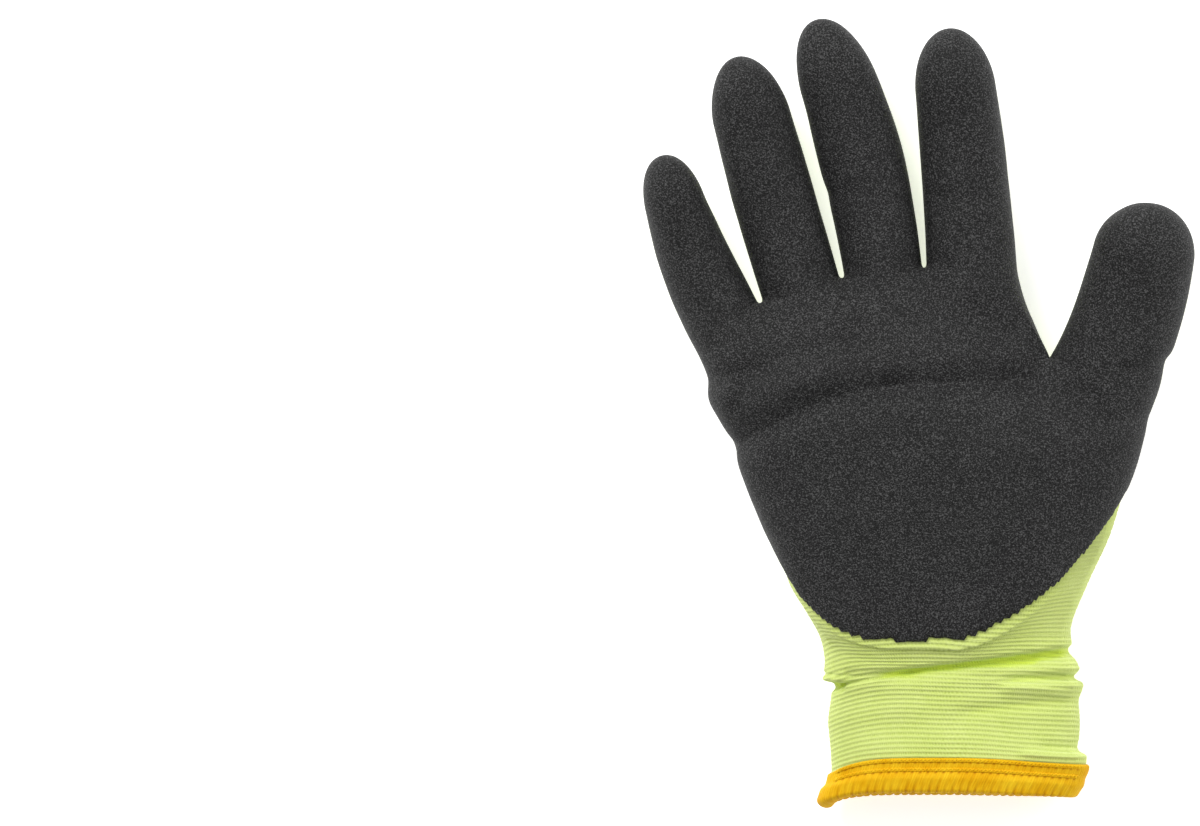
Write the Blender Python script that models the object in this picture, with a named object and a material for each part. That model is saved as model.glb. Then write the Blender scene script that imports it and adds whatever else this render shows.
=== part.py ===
"""Insulated work glove for the right hand, lying on its back with the palm up.

Three pieces: a seamless knitted shell, the dipped coating on its palm and fingers, and the overlocked
binding round the cuff's mouth. Metres, +X towards the thumb, +Y towards the fingertips, +Z out of the palm.
The origin is on the surface under the middle of the palm.
"""

from types import SimpleNamespace

import bpy
import numpy as np

# Driving sizes of the knitted shell
PALM_WIDTH = 0.1085  # outer edge of the palm to the thumb's crotch
PALM_REACH = 0.0673  # origin up to the crotch of the index and middle fingers
PALM_DEPTH = 0.034  # back to palm, at the ball of the thumb
HEEL_LENGTH = 0.050  # origin down to the wrist
CUFF_LENGTH = 0.049  # wrist down to the mouth
CUFF_WIDTH = 0.081
CUFF_DEPTH = 0.0245
CUFF_SHIFT = 0.0058  # the cuff's middle line lies this far to the thumb side of the origin
SHELL_WALL = 0.0022  # knit and its brushed inside

# Driving sizes of the digits
PINKY_LENGTH = 0.0575
RING_LENGTH = 0.0780
MIDDLE_LENGTH = 0.0845
INDEX_LENGTH = 0.0765
THUMB_LENGTH = 0.0605
FINGER_DEPTH = 0.0215  # back to front, at the knuckles
THUMB_DEPTH = 0.0245
KNUCKLE_RISE = 0.0125  # of the fingers' middle lines above the surface, at the knuckles
THUMB_RISE = 0.0138
TIP_LIFT = 0.0095  # how far a digit's middle line curls up from root to tip
CROTCH_GAP = 0.0040  # between two digits, just above their crotch
CROTCH_HEIGHT = 0.0125  # the web's height from back to front
THUMB_CROTCH_HEIGHT = 0.0150
CROTCH_RADIUS = 0.0026  # length over which a crotch opens to its gap
CROTCH_BLEND = 0.0095  # length over which a web's height becomes the digit's depth
CROTCH_DIMPLE = 0.0085  # how far round a crotch the palm dips down to it

# Driving sizes of the coating and the binding
COATING_WALL = 0.0010
BINDING_HEIGHT = 0.0095
BINDING_ROLL = 0.0058  # height of the rolled part, below the flat stitched part
BINDING_FLAT_WALL = 0.0008
BINDING_ROLL_WALL = 0.0018
BINDING_INNER_WALL = 0.0010
SEAT_GAP = 0.0003  # between touching pieces

# Columns of faces in a ring, and rows of faces between two forks
FRONT_COLUMNS = 4  # across the front of each digit
BACK_COLUMNS = 3  # across its back
SIDE_COLUMNS = 2  # round each side
FORK_ROWS = 5
PALM_ROWS = 6

# Linear colours
KNIT_COLOUR = (0.679, 0.775, 0.251, 1.0)
COATING_COLOUR = (0.038, 0.038, 0.038, 1.0)
BINDING_COLOUR = (0.761, 0.413, 0.005, 1.0)

UP = np.array([0.0, 0.0, 1.0])


def table(columns, *rows):
    """Rows of numbers under named columns, as one array for each column."""
    return SimpleNamespace(**dict(zip(columns.split(), np.array(rows, float).T)))


# Sections of the cuff from its mouth to the wrist. down is the front's distance below the wrist and the
# drops are how much lower the two edges and the back lie, as shares of CUFF_LENGTH; left and right are the
# edges as shares of CUFF_WIDTH; depth is a share of CUFF_DEPTH; lift, of the back off the surface, is a
# share of what the binding's roll needs there. cuts is the number of mesh rows up to the next section.
CUFF_SECTIONS = table(
    "down left right left_drop right_drop back_drop depth lift cuts",
    (1.000, -0.524, 0.470, 0.092, 0.031, 0.020, 0.90, 1.10, 1),
    (0.826, -0.495, 0.523, 0.112, 0.051, 0.020, 0.96, 1.08, 1),
    (0.714, -0.495, 0.500, 0.092, 0.031, 0.010, 1.00, 0.50, 1),
    (0.592, -0.500, 0.500, 0.061, 0.010, 0.000, 1.00, 0.05, 1),
    (0.469, -0.500, 0.497, 0.031, 0.010, 0.000, 1.00, 0.00, 2),
    (0.378, -0.488, 0.508, 0.000, 0.000, -0.030, 1.00, 0.00, 2),
    (0.296, -0.508, 0.490, -0.031, -0.031, -0.080, 1.00, 0.00, 2),
    (0.224, -0.516, 0.476, -0.082, -0.082, -0.140, 1.01, 0.00, 2),
    (0.173, -0.541, 0.461, -0.173, -0.214, -0.230, 1.02, 0.00, 1),
)

# Sections of the heel of the hand from the wrist to the ball of the thumb. The x are shares of PALM_WIDTH,
# the y shares of HEEL_LENGTH, and depth of PALM_DEPTH. The third section is the coating's lower edge.
HEEL_SECTIONS = table(
    "left_x left_y right_x right_y front_y back_y depth cuts",
    (-0.392, -0.84, 0.452, -0.66, -1.126, -0.76, 0.77, 1),
    (-0.437, -0.68, 0.515, -0.36, -1.082, -0.56, 0.81, 1),
    (-0.462, -0.51, 0.558, -0.06, -1.036, -0.32, 0.85, 2),
    (-0.530, -0.18, 0.586, 0.12, -0.540, -0.04, 0.94, 2),
    (-0.602, 0.22, 0.605, 0.28, 0.060, 0.22, 1.00, 0),
)
COATING_SECTION = len(CUFF_SECTIONS.down) + 2
FORK_DEPTH = 0.97  # depth of the hand where the thumb leaves it, as a share of PALM_DEPTH

# Where the shell forks, as shares of PALM_WIDTH and PALM_REACH: the hand's outer edge, the thumb's crotch
# and the thumb's outer edge, then the little finger's outer edge, the three crotches and the index finger's
# outer edge.
THUMB_FORK = table("x y", (-0.674, 0.518), (0.323, 0.568), (0.625, 0.334))
KNUCKLES = table("x y", (-0.715, 0.660), (-0.519, 0.832), (-0.279, 0.952), (-0.037, 1.000), (0.227, 1.025))

# Widths of the digits: along is a share of the length, the others are shares of the width at the root.
DIGIT_WIDTHS = table(
    "along pinky ring middle index thumb",
    (0.00, 1.000, 1.000, 1.000, 1.000, 1.000),
    (0.25, 0.985, 1.020, 1.060, 0.960, 0.950),
    (0.50, 0.900, 1.020, 1.100, 0.935, 0.930),
    (0.78, 0.760, 0.960, 0.990, 0.875, 0.880),
    (1.00, 0.700, 0.900, 0.920, 0.840, 0.840),
)
# Where the digits point at their tips, in degrees from +Y towards +X
TIP_DIRECTIONS = {"pinky": -13.5, "ring": -14.5, "middle": -23.5, "index": -8.5, "thumb": 6.0}
DOME_START = 0.76  # share of a digit's length where its rounded tip begins
TIP_DEPTH = 0.84  # share of the root's depth that is left at the tip
DIGIT_ROWS = (0.16, 0.30, 0.44, 0.58, 0.70)  # mesh rows, as shares of a digit's length
DOME_ROWS = (0.0, 0.38, 0.66, 0.88)  # mesh rows over the tip, as shares of a quarter turn
FILLET_ROWS = (0.35, 1.0)  # mesh rows in a crotch, as shares of CROTCH_RADIUS

# Folds on the palm side. A fold runs between two points in shares of PALM_WIDTH, bowed to its upper side;
# height (below zero is a crease), and its breadths above and below the line, are shares of the same.
FOLDS = table(
    "from_x from_y to_x to_y bow height above below",
    (-0.610, 0.100, -0.120, 0.284, 0.026, -0.0260, 0.042, 0.044),
    (-0.645, 0.085, -0.560, 0.125, 0.000, -0.0120, 0.014, 0.016),
    (-0.720, 0.270, -0.600, 0.260, 0.000, 0.0260, 0.045, 0.058),
    (-0.170, 0.283, 0.320, 0.298, 0.000, -0.0250, 0.040, 0.044),
    (-0.680, 0.278, -0.205, 0.428, 0.010, -0.0190, 0.040, 0.040),
    (0.384, 0.283, 0.519, 0.149, 0.015, -0.0120, 0.040, 0.040),
    (0.540, 0.330, 0.720, 0.365, 0.000, -0.0120, 0.020, 0.050),
    (-0.326, -0.556, 0.400, -0.484, -0.016, 0.0100, 0.050, 0.013),
    (-0.150, -0.580, 0.400, -0.507, 0.000, -0.0200, 0.013, 0.020),
    (-0.330, -0.630, 0.200, -0.560, 0.017, 0.0080, 0.009, 0.040),
    (-0.335, -0.584, -0.270, -0.588, 0.000, 0.0130, 0.022, 0.020),
    (-0.335, -0.614, -0.275, -0.616, 0.000, -0.0180, 0.012, 0.012),
    (0.300, -0.545, 0.450, -0.556, 0.000, 0.0090, 0.030, 0.018),
    (0.200, -0.594, 0.440, -0.582, 0.000, -0.0120, 0.012, 0.012),
    (0.190, -0.620, 0.460, -0.607, 0.000, 0.0110, 0.014, 0.018),
    (0.070, -0.690, 0.440, -0.648, 0.000, -0.0090, 0.020, 0.022),
    (0.310, -0.792, 0.460, -0.796, 0.000, -0.0070, 0.018, 0.018),
)
FOLD_FADE = 0.12  # share of a fold's length over which it dies out at each end
FOLD_NORMALS = (-0.7, 0.0)  # upward share of the surface's normal at which folds begin and are whole

# Form of the sections. A roundness of 2 is an ellipse, and more is squarer.
BODY_ROUNDNESS = 2.4
DIGIT_ROUNDNESS = 2.2
BACK_ROUNDNESS = 3.3
BACK_REACH = 1.12  # the back's arc would run this far past the surface, and is flat there
EDGE_RISE = 0.45  # share of the depth at which the side edges lie
LEFT_SWEEP = 5.0  # how late a row leaves its front level towards the left edge
RIGHT_SWEEP = 1.7
BODY_SIDE = np.radians(25)  # half of the turn that counts as a side
DIGIT_SIDE = np.radians(35)
SLOPE_STEP = 0.1  # share of the last section over which the body's direction is read
ROLL_SHOULDER = 0.25  # share of the binding's rolled height, from its top, at which the roll is full
ROLL_LOWEST = 1 / 3  # where the roll's lowest line lies, as a share of the way from outside to inside
WELD = 1e-7  # points this near are one
TINY = 1e-15


def spline(values, at):
    """Smooth curve through values at 0, 1, 2 ..., read at the given places."""
    slope = np.gradient(values)
    low = np.clip(np.floor(at).astype(int), 0, len(values) - 2)
    t = at - low
    leave = values[low] * (1 + 2 * t) * (1 - t) ** 2 + slope[low] * t * (1 - t) ** 2
    arrive = values[low + 1] * t**2 * (3 - 2 * t) - slope[low + 1] * t**2 * (1 - t)
    return leave + arrive


def smooth_step(value, low, high):
    """0 up to low and 1 from high on, with a smooth rise between."""
    t = np.clip((value - low) / (high - low), 0, 1)
    return t * t * (3 - 2 * t)


def ring(front, back, side):
    """Angles round a section with front and back columns, each of its sides being 2 * side of the turn.

    It starts at the left side's lower corner and closes on itself. web is -1 on the back and 1 on the front.
    """
    arcs = [
        np.linspace(np.pi + side, np.pi - side, SIDE_COLUMNS + 1),
        np.linspace(np.pi - side, side, front + 1),
        np.linspace(side, -side, SIDE_COLUMNS + 1),
        np.linspace(-side, side - np.pi, back + 1),
    ]
    angle = np.concatenate([turn[:-1] for turn in arcs] + [arcs[0][:1]])
    covered = np.repeat([True, True, True, False], [len(turn) - 1 for turn in arcs])
    web = np.clip(np.arcsin(np.sin(angle)) / side, -1, 1)
    return SimpleNamespace(
        angle=angle, cosine=np.cos(angle), sine=np.sin(angle), side=side, web=web, covered=covered
    )


def cuts_of(points, front, back):
    """The four runs of a ring, each with both its ends: left side, front, right side and back."""
    ends = np.cumsum([0, SIDE_COLUMNS, front, SIDE_COLUMNS, back])
    return [points[first : last + 1] for first, last in zip(ends, ends[1:])]


def merged(children, counts):
    """One parent ring of points round several children's rings, which share a side with their neighbours."""
    runs = [cuts_of(points, *count) for points, count in zip(children, counts)]
    fronts = [run[1][:-1] for run in runs]
    backs = [run[3][:-1] for run in reversed(runs)]
    parts = [runs[0][0][:-1], *fronts, runs[-1][2][:-1], *backs, runs[0][0][:1]]
    return np.concatenate(parts)


def split(parent, counts):
    """The reverse of merged. A side between two children runs straight from the front to the back."""
    fronts, backs = sum(count[0] for count in counts), sum(count[1] for count in counts)
    left, front, right, back = cuts_of(parent, fronts, backs)
    back = back[::-1]
    share = np.linspace(0, 1, SIDE_COLUMNS + 1)[:, None]
    children, first_front, first_back = [], 0, 0
    for index, (front_count, back_count) in enumerate(counts):
        last_front, last_back = first_front + front_count, first_back + back_count
        start = left if index == 0 else back[first_back] * (1 - share) + front[first_front] * share
        end = right if index == len(counts) - 1 else front[last_front] * (1 - share) + back[last_back] * share
        run = [start, front[first_front : last_front + 1], end, back[first_back : last_back + 1][::-1]]
        children.append(np.concatenate([piece[:-1] for piece in run] + [start[:1]]))
        first_front, first_back = last_front, last_back
    return children


def fork_points(fork):
    """The fork's points in metres, in the plane."""
    return np.stack([fork.x * PALM_WIDTH, fork.y * PALM_REACH], axis=-1)


def make_digit(name, length, left, right, joined_left, joined_right, depth, rise, web_height):
    """A digit's sizes: its root runs from left to right, and a joined side shares a crotch."""
    chord = np.linalg.norm(right - left)
    across = (right - left) / chord
    gap_left, gap_right = CROTCH_GAP / 2 * joined_left, CROTCH_GAP / 2 * joined_right
    half_root = (chord - gap_left - gap_right) / 2
    return SimpleNamespace(
        length=length, joined_left=joined_left, joined_right=joined_right, depth=depth, rise=rise,
        web_height=web_height, gap_left=gap_left, gap_right=gap_right, half_root=half_root,
        root=left + across * (gap_left + half_root), start=np.arctan2(-across[1], across[0]),
        end=np.radians(TIP_DIRECTIONS[name]), widths=getattr(DIGIT_WIDTHS, name),
    )


def make_digits():
    """The four fingers from the little finger on, and the thumb."""
    hand, roots = fork_points(THUMB_FORK), fork_points(KNUCKLES)
    lengths = {"pinky": PINKY_LENGTH, "ring": RING_LENGTH, "middle": MIDDLE_LENGTH, "index": INDEX_LENGTH}
    fingers = [
        make_digit(
            name, length, roots[at], roots[at + 1], at > 0, at < len(lengths) - 1,
            FINGER_DEPTH, KNUCKLE_RISE, CROTCH_HEIGHT,
        )
        for at, (name, length) in enumerate(lengths.items())
    ]
    thumb = make_digit(
        "thumb", THUMB_LENGTH, hand[1], hand[2], True, False, THUMB_DEPTH, THUMB_RISE, THUMB_CROTCH_HEIGHT
    )
    return fingers, thumb


def digit_surface(digit, loop, along):
    """Points of a digit for each share of its length (rows) and each angle of the ring (columns).

    The middle line is an arc that turns from square across the root to the tip's direction, and lifts with
    the square of the length. A joined side opens from the crotch in a round fillet, and its height grows
    from the web's.
    """
    t = np.asarray(along, float)[:, None]
    turn = digit.end - digit.start
    direction = digit.start + turn * t
    radius = digit.length / turn
    middle_x = digit.root[0] + radius * (np.cos(digit.start) - np.cos(direction))
    middle_y = digit.root[1] + radius * (np.sin(direction) - np.sin(digit.start))
    middle = np.stack([middle_x, middle_y, digit.rise + TIP_LIFT * t**2], axis=-1)
    slope = 2 * TIP_LIFT * t / digit.length
    ahead = np.stack([np.sin(direction), np.cos(direction), slope], axis=-1)
    across = np.stack([np.cos(direction), -np.sin(direction), 0 * t], axis=-1)
    upward = np.cross(across, ahead / np.linalg.norm(ahead, axis=-1, keepdims=True))

    dome = np.sqrt(1 - np.clip((t - DOME_START) / (1 - DOME_START), 0, 1) ** 2)
    width = spline(digit.widths, np.interp(t, DIGIT_WIDTHS.along, np.arange(len(DIGIT_WIDTHS.along))))
    half_width = digit.half_root * width * dome
    half_depth = digit.depth / 2 * (1 + (TIP_DEPTH - 1) * t) * dome

    left = loop.cosine < 0
    joined = np.where(left, digit.joined_left, digit.joined_right)
    gap = np.where(left, digit.gap_left, digit.gap_right)
    travel = t * digit.length
    fillet = joined * (1 - np.sqrt(1 - np.clip(1 - travel / CROTCH_RADIUS, 0, 1) ** 2))
    near = joined * (1 - smooth_step(travel, 0, CROTCH_BLEND))
    share = np.abs(loop.cosine) ** (2 / DIGIT_ROUNDNESS)
    squared = np.minimum(share / np.cos(loop.side) ** (2 / DIGIT_ROUNDNESS), 1.0)
    reach = (half_width + gap * fillet) * (share + (squared - share) * fillet)
    bow = np.sign(loop.sine) * np.abs(loop.sine) ** (2 / DIGIT_ROUNDNESS)
    weight = near * squared**3
    height = half_depth * bow * (1 - weight) + loop.web * digit.web_height / 2 * weight
    points = middle + (np.sign(loop.cosine) * reach)[:, :, None] * across + height[:, :, None] * upward
    if along[-1] == 1:
        points[-1] = middle[-1]
    return points


def flattened_back(sine, depth):
    """Height of the back: an arc that is cut flat where it would pass below the surface."""
    return EDGE_RISE * depth * np.maximum(0, 1 - BACK_REACH * np.abs(sine) ** (2 / BACK_ROUNDNESS))


def raised_front(sine, depth):
    """Height of the front, from the side edges up to the whole depth."""
    return depth * (EDGE_RISE + (1 - EDGE_RISE) * np.abs(sine) ** (2 / BODY_ROUNDNESS))


def body_rows():
    """All sections of the cuff and the heel in one table, in metres."""
    cuff, heel = CUFF_SECTIONS, HEEL_SECTIONS
    front = -HEEL_LENGTH - cuff.down * CUFF_LENGTH
    joined = {
        "left_x": (CUFF_SHIFT + cuff.left * CUFF_WIDTH, heel.left_x * PALM_WIDTH),
        "right_x": (CUFF_SHIFT + cuff.right * CUFF_WIDTH, heel.right_x * PALM_WIDTH),
        "left_y": (front - cuff.left_drop * CUFF_LENGTH, heel.left_y * HEEL_LENGTH),
        "right_y": (front - cuff.right_drop * CUFF_LENGTH, heel.right_y * HEEL_LENGTH),
        "front_y": (front, heel.front_y * HEEL_LENGTH),
        "back_y": (front - cuff.back_drop * CUFF_LENGTH, heel.back_y * HEEL_LENGTH),
        "depth": (cuff.depth * CUFF_DEPTH, heel.depth * PALM_DEPTH),
        "lift": (cuff.lift * (BINDING_ROLL_WALL + SEAT_GAP), 0 * heel.depth),
    }
    return SimpleNamespace(**{name: np.concatenate(pair) for name, pair in joined.items()})


def body_surface(loop, places):
    """Points of the cuff and heel: a row for each place along the sections, a column for each angle."""
    rows = body_rows()
    at = np.asarray(places, float)[:, None]
    share = np.sign(loop.cosine) * np.abs(loop.cosine) ** (2 / BODY_ROUNDNESS)
    left_x, right_x = spline(rows.left_x, at), spline(rows.right_x, at)
    x = (left_x + right_x) / 2 + share * (right_x - left_x) / 2
    edge_y = spline(rows.left_y, at) * (1 - share) / 2 + spline(rows.right_y, at) * (1 + share) / 2
    front = loop.sine >= 0
    middle_y = np.where(front, spline(rows.front_y, at), spline(rows.back_y, at))
    sweep = np.abs(share) ** np.where(share < 0, LEFT_SWEEP, RIGHT_SWEEP)
    depth = spline(rows.depth, at)
    height = np.where(front, raised_front(loop.sine, depth), flattened_back(loop.sine, depth))
    return np.stack([x, middle_y * (1 - sweep) + edge_y * sweep, height + spline(rows.lift, at)], axis=-1)


def hand_section(loop, thumb):
    """The hand's section where the thumb leaves it: the body's form, squared off at the thumb's crotch."""
    left, crotch = fork_points(THUMB_FORK)[:2]
    share = np.abs(loop.cosine) ** (2 / BODY_ROUNDNESS)
    joined = loop.cosine > 0
    squared = np.minimum(share / np.cos(loop.side) ** (2 / BODY_ROUNDNESS), 1.0)
    reach = np.sign(loop.cosine) * np.where(joined, squared, share)
    flat = (left + crotch) / 2 + reach[:, None] * (crotch - left) / 2
    depth = FORK_DEPTH * PALM_DEPTH
    body = np.where(loop.sine >= 0, raised_front(loop.sine, depth), flattened_back(loop.sine, depth))
    web = thumb.rise + loop.web * thumb.web_height / 2
    weight = joined * squared**3
    return np.column_stack([flat, body * (1 - weight) + web * weight])


def blend_rows(start, start_way, end, end_way, count):
    """Rows of points from start to end that leave and arrive along the given ways (cubic Hermite curves)."""
    t = np.linspace(0, 1, count + 1)[:, None, None]
    leave = start * (1 + 2 * t) * (1 - t) ** 2 + start_way * t * (1 - t) ** 2
    arrive = end * t**2 * (3 - 2 * t) - end_way * t**2 * (1 - t)
    return leave + arrive


def scaled(way, like):
    """Vectors along way with the lengths of like."""
    length = np.linalg.norm(way, axis=-1, keepdims=True)
    return way / np.maximum(length, TINY) * np.linalg.norm(like, axis=-1, keepdims=True)


def near_crotch(points, crotches):
    """1 at a crotch, dying out round it."""
    distance = np.linalg.norm(points[:, None, :2] - crotches, axis=2).min(axis=1)
    return np.exp(-((distance / CROTCH_DIMPLE) ** 2))[:, None]


def root_rings(digits, loop):
    """The digits' first rings. Neighbours get the very same points on the side they share."""
    rings = [digit_surface(digit, loop, [0.0])[0] for digit in digits]
    return share_sides(rings, [(FRONT_COLUMNS, BACK_COLUMNS)] * len(rings))


def share_sides(rings, counts):
    """Copy each ring's right side onto the left side of the next ring, and close every ring."""
    for ring_before, (front, _), ring_after in zip(rings, counts, rings[1:]):
        first = SIDE_COLUMNS + front
        ring_after[: SIDE_COLUMNS + 1] = ring_before[first : first + SIDE_COLUMNS + 1][::-1]
    for points in rings:
        points[-1] = points[0]
    return rings


def place_above_mouth(height):
    """Place along the body's sections at a height above the mouth, measured up the front."""
    cuff = CUFF_SECTIONS
    return np.interp(height, (1 - cuff.down) * CUFF_LENGTH, np.arange(len(cuff.down)))


def body_places():
    """Places along the body's sections where the mesh has a row, the binding's two edges among them."""
    cuts = np.concatenate([CUFF_SECTIONS.cuts, HEEL_SECTIONS.cuts[:-1]]).astype(int)
    steps = np.concatenate([place + np.arange(count) / count for place, count in enumerate(cuts)])
    edges = [place_above_mouth(BINDING_ROLL), place_above_mouth(BINDING_HEIGHT)]
    clear = steps[(steps == 0) | (steps > edges[-1])]
    return np.concatenate([clear[:1], edges, clear[1:], [float(len(cuts))]])


def digit_places(digit):
    """Shares of a digit's length where the mesh has a row: dense at the crotch and over the tip."""
    fillet = np.array(FILLET_ROWS) * CROTCH_RADIUS / digit.length
    dome = DOME_START + (1 - DOME_START) * np.sin(np.array(DOME_ROWS) * np.pi / 2)
    return np.concatenate([[0.0], fillet, DIGIT_ROWS, dome, [1.0]])


class Skin:
    """Grids of points gathered into one surface, with equal points made one."""

    def __init__(self):
        self.points, self.quads, self.coated, self.count = [], [], [], 0

    def add(self, grid, coated):
        """Add rows of closed rings. coated says for each face whether the coating covers it."""
        rows, columns = grid.shape[:2]
        grid[:, -1] = grid[:, 0]
        index = self.count + np.arange(rows * columns).reshape(rows, columns)
        quads = np.stack([index[:-1, :-1], index[:-1, 1:], index[1:, 1:], index[1:, :-1]], axis=-1)
        self.points.append(grid.reshape(-1, 3))
        self.quads.append(quads.reshape(-1, 4))
        self.coated.append(np.broadcast_to(coated, quads.shape[:2]).ravel())
        self.count += rows * columns

    def weld(self):
        """The points, the triangles, which are coated, and the new number of each point that was added."""
        points = np.concatenate(self.points)
        _, first, index = np.unique(np.round(points / WELD), axis=0, return_index=True, return_inverse=True)
        index = index.reshape(-1)
        points = points[first]
        quads = index[np.concatenate(self.quads)]
        triangles, owners = triangulate(points, quads)
        return points, triangles, np.concatenate(self.coated)[owners], index


def triangulate(points, quads):
    """Split each quad along its shorter diagonal, and drop what collapses at a pole."""
    corner = points[quads]
    first = np.linalg.norm(corner[:, 0] - corner[:, 2], axis=1)
    second = np.linalg.norm(corner[:, 1] - corner[:, 3], axis=1)
    turned = np.where((first > second)[:, None], np.roll(quads, -1, axis=1), quads)
    triangles = np.concatenate([turned[:, [0, 1, 2]], turned[:, [0, 2, 3]]])
    owners = np.tile(np.arange(len(quads)), 2)
    whole = (triangles != np.roll(triangles, 1, axis=1)).all(axis=1)
    return triangles[whole], owners[whole]


def vertex_normals(points, triangles):
    """Unit normals at the points, weighted by the faces' corners and areas."""
    a, b, c = (points[triangles[:, corner]] for corner in range(3))
    normal = np.cross(b - a, c - a)
    total = np.zeros_like(points)
    for corner in range(3):
        np.add.at(total, triangles[:, corner], normal)
    return total / np.maximum(np.linalg.norm(total, axis=1, keepdims=True), TINY)


def fold_height(points):
    """How far the folds lift the surface (or sink it, below zero) at each point."""
    total = np.zeros(len(points))
    for row in range(len(FOLDS.bow)):
        start = np.array([FOLDS.from_x[row], FOLDS.from_y[row]]) * PALM_WIDTH
        run = np.array([FOLDS.to_x[row], FOLDS.to_y[row]]) * PALM_WIDTH - start
        length = np.linalg.norm(run)
        offset = points[:, :2] - start
        along = offset @ run / length**2
        beside = (run[0] * offset[:, 1] - run[1] * offset[:, 0]) / length
        arch = 4 * along * (1 - along)  # 1 at the middle and 0 at both ends
        beside = beside - FOLDS.bow[row] * PALM_WIDTH * arch
        breadth = np.where(beside > 0, FOLDS.above[row], FOLDS.below[row]) * PALM_WIDTH
        ends = smooth_step(along, -FOLD_FADE, FOLD_FADE) * smooth_step(1 - along, -FOLD_FADE, FOLD_FADE)
        total += FOLDS.height[row] * PALM_WIDTH * np.exp(-((beside / breadth) ** 2)) * ends
    return total


def make_skin():
    """The shell's outside: points, normals, triangles, which are coated, and the body's point numbers."""
    fingers, thumb = make_digits()
    digit_count = (FRONT_COLUMNS, BACK_COLUMNS)
    hand_count = (FRONT_COLUMNS * len(fingers), BACK_COLUMNS * len(fingers))
    body_count = (hand_count[0] + digit_count[0], hand_count[1] + digit_count[1])
    body_ring, hand_ring = ring(*body_count, BODY_SIDE), ring(*hand_count, BODY_SIDE)
    digit_ring = ring(*digit_count, DIGIT_SIDE)
    skin = Skin()

    places = body_places()
    body = body_surface(body_ring, places)
    skin.add(body, (places[:-1] >= COATING_SECTION)[:, None] & body_ring.covered)
    rows_of_body = np.arange(body.shape[0] * body.shape[1]).reshape(body.shape[:2])

    thumb_root = digit_surface(thumb, digit_ring, [0.0])[0]
    hand, thumb_root = share_sides([hand_section(hand_ring, thumb), thumb_root], [hand_count, digit_count])
    finger_roots = root_rings(fingers, digit_ring)
    fork = merged([hand, thumb_root], [hand_count, digit_count])
    knuckles = merged(finger_roots, [digit_count] * len(fingers))
    ball = body[-1]

    crotch = fork_points(THUMB_FORK)[1:2]
    hand_ball, thumb_ball = split(ball, [hand_count, digit_count])
    hand_way = knuckles - hand_ball
    ahead = np.array([np.sin(thumb.start), np.cos(thumb.start), 0.0])
    through = merged([hand_way, np.broadcast_to(ahead, thumb_ball.shape)], [hand_count, digit_count])
    start_way = ball - body_surface(body_ring, [places[-1] - SLOPE_STEP])[0]
    dive = -body_ring.web[:, None] * UP * CROTCH_DIMPLE
    near = near_crotch(fork, crotch)
    end_way = scaled(through, fork - ball) * (1 - near) + dive * near
    skin.add(blend_rows(ball, scaled(start_way, fork - ball), fork, end_way, FORK_ROWS), body_ring.covered)

    near = near_crotch(hand, crotch)
    rise = knuckles - hand
    start_way = scaled(hand_way, rise) * (1 - near) + rise * near
    heads = [np.array([np.sin(one.start), np.cos(one.start), 0.0]) for one in fingers]
    spread = [np.broadcast_to(head, root.shape) for head, root in zip(heads, finger_roots)]
    ahead = merged(spread, [digit_count] * len(fingers))
    near = near_crotch(knuckles, fork_points(KNUCKLES)[1:-1])
    dive = -hand_ring.web[:, None] * UP * CROTCH_DIMPLE
    end_way = scaled(ahead, rise) * (1 - near) + dive * near
    skin.add(blend_rows(hand, start_way, knuckles, end_way, PALM_ROWS), hand_ring.covered)

    for digit, root in zip([*fingers, thumb], [*finger_roots, thumb_root]):
        along = digit_places(digit)
        surface = digit_surface(digit, digit_ring, along)
        surface[0] = root
        skin.add(surface, (along[1:] > DOME_START)[:, None] | digit_ring.covered)

    points, triangles, coated, index = skin.weld()
    normals = vertex_normals(points, triangles)
    points = points + normals * (fold_height(points) * smooth_step(normals[:, 2], *FOLD_NORMALS))[:, None]
    points[:, 2] = np.maximum(points[:, 2], 0)  # the back rests flat on the surface
    return points, vertex_normals(points, triangles), triangles, coated, index[rows_of_body]


def make_wall(outside, inside, triangles):
    """A closed wall between two layers of the same triangles, with a rim along their open edges."""
    used = np.unique(triangles)
    number = np.full(len(outside), -1)
    number[used] = np.arange(len(used))
    faces = number[triangles]
    edges = np.concatenate([faces[:, [0, 1]], faces[:, [1, 2]], faces[:, [2, 0]]])
    code, back_code = edges @ [len(used), 1], edges @ [1, len(used)]
    first, second = edges[~np.isin(code, back_code)].T
    below = len(used)
    upper, lower = [second, first, first + below], [second, first + below, second + below]
    rim = np.concatenate([np.column_stack(upper), np.column_stack(lower)])
    return np.concatenate([outside[used], inside[used]]), np.concatenate([faces, faces[:, ::-1] + below, rim])


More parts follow.
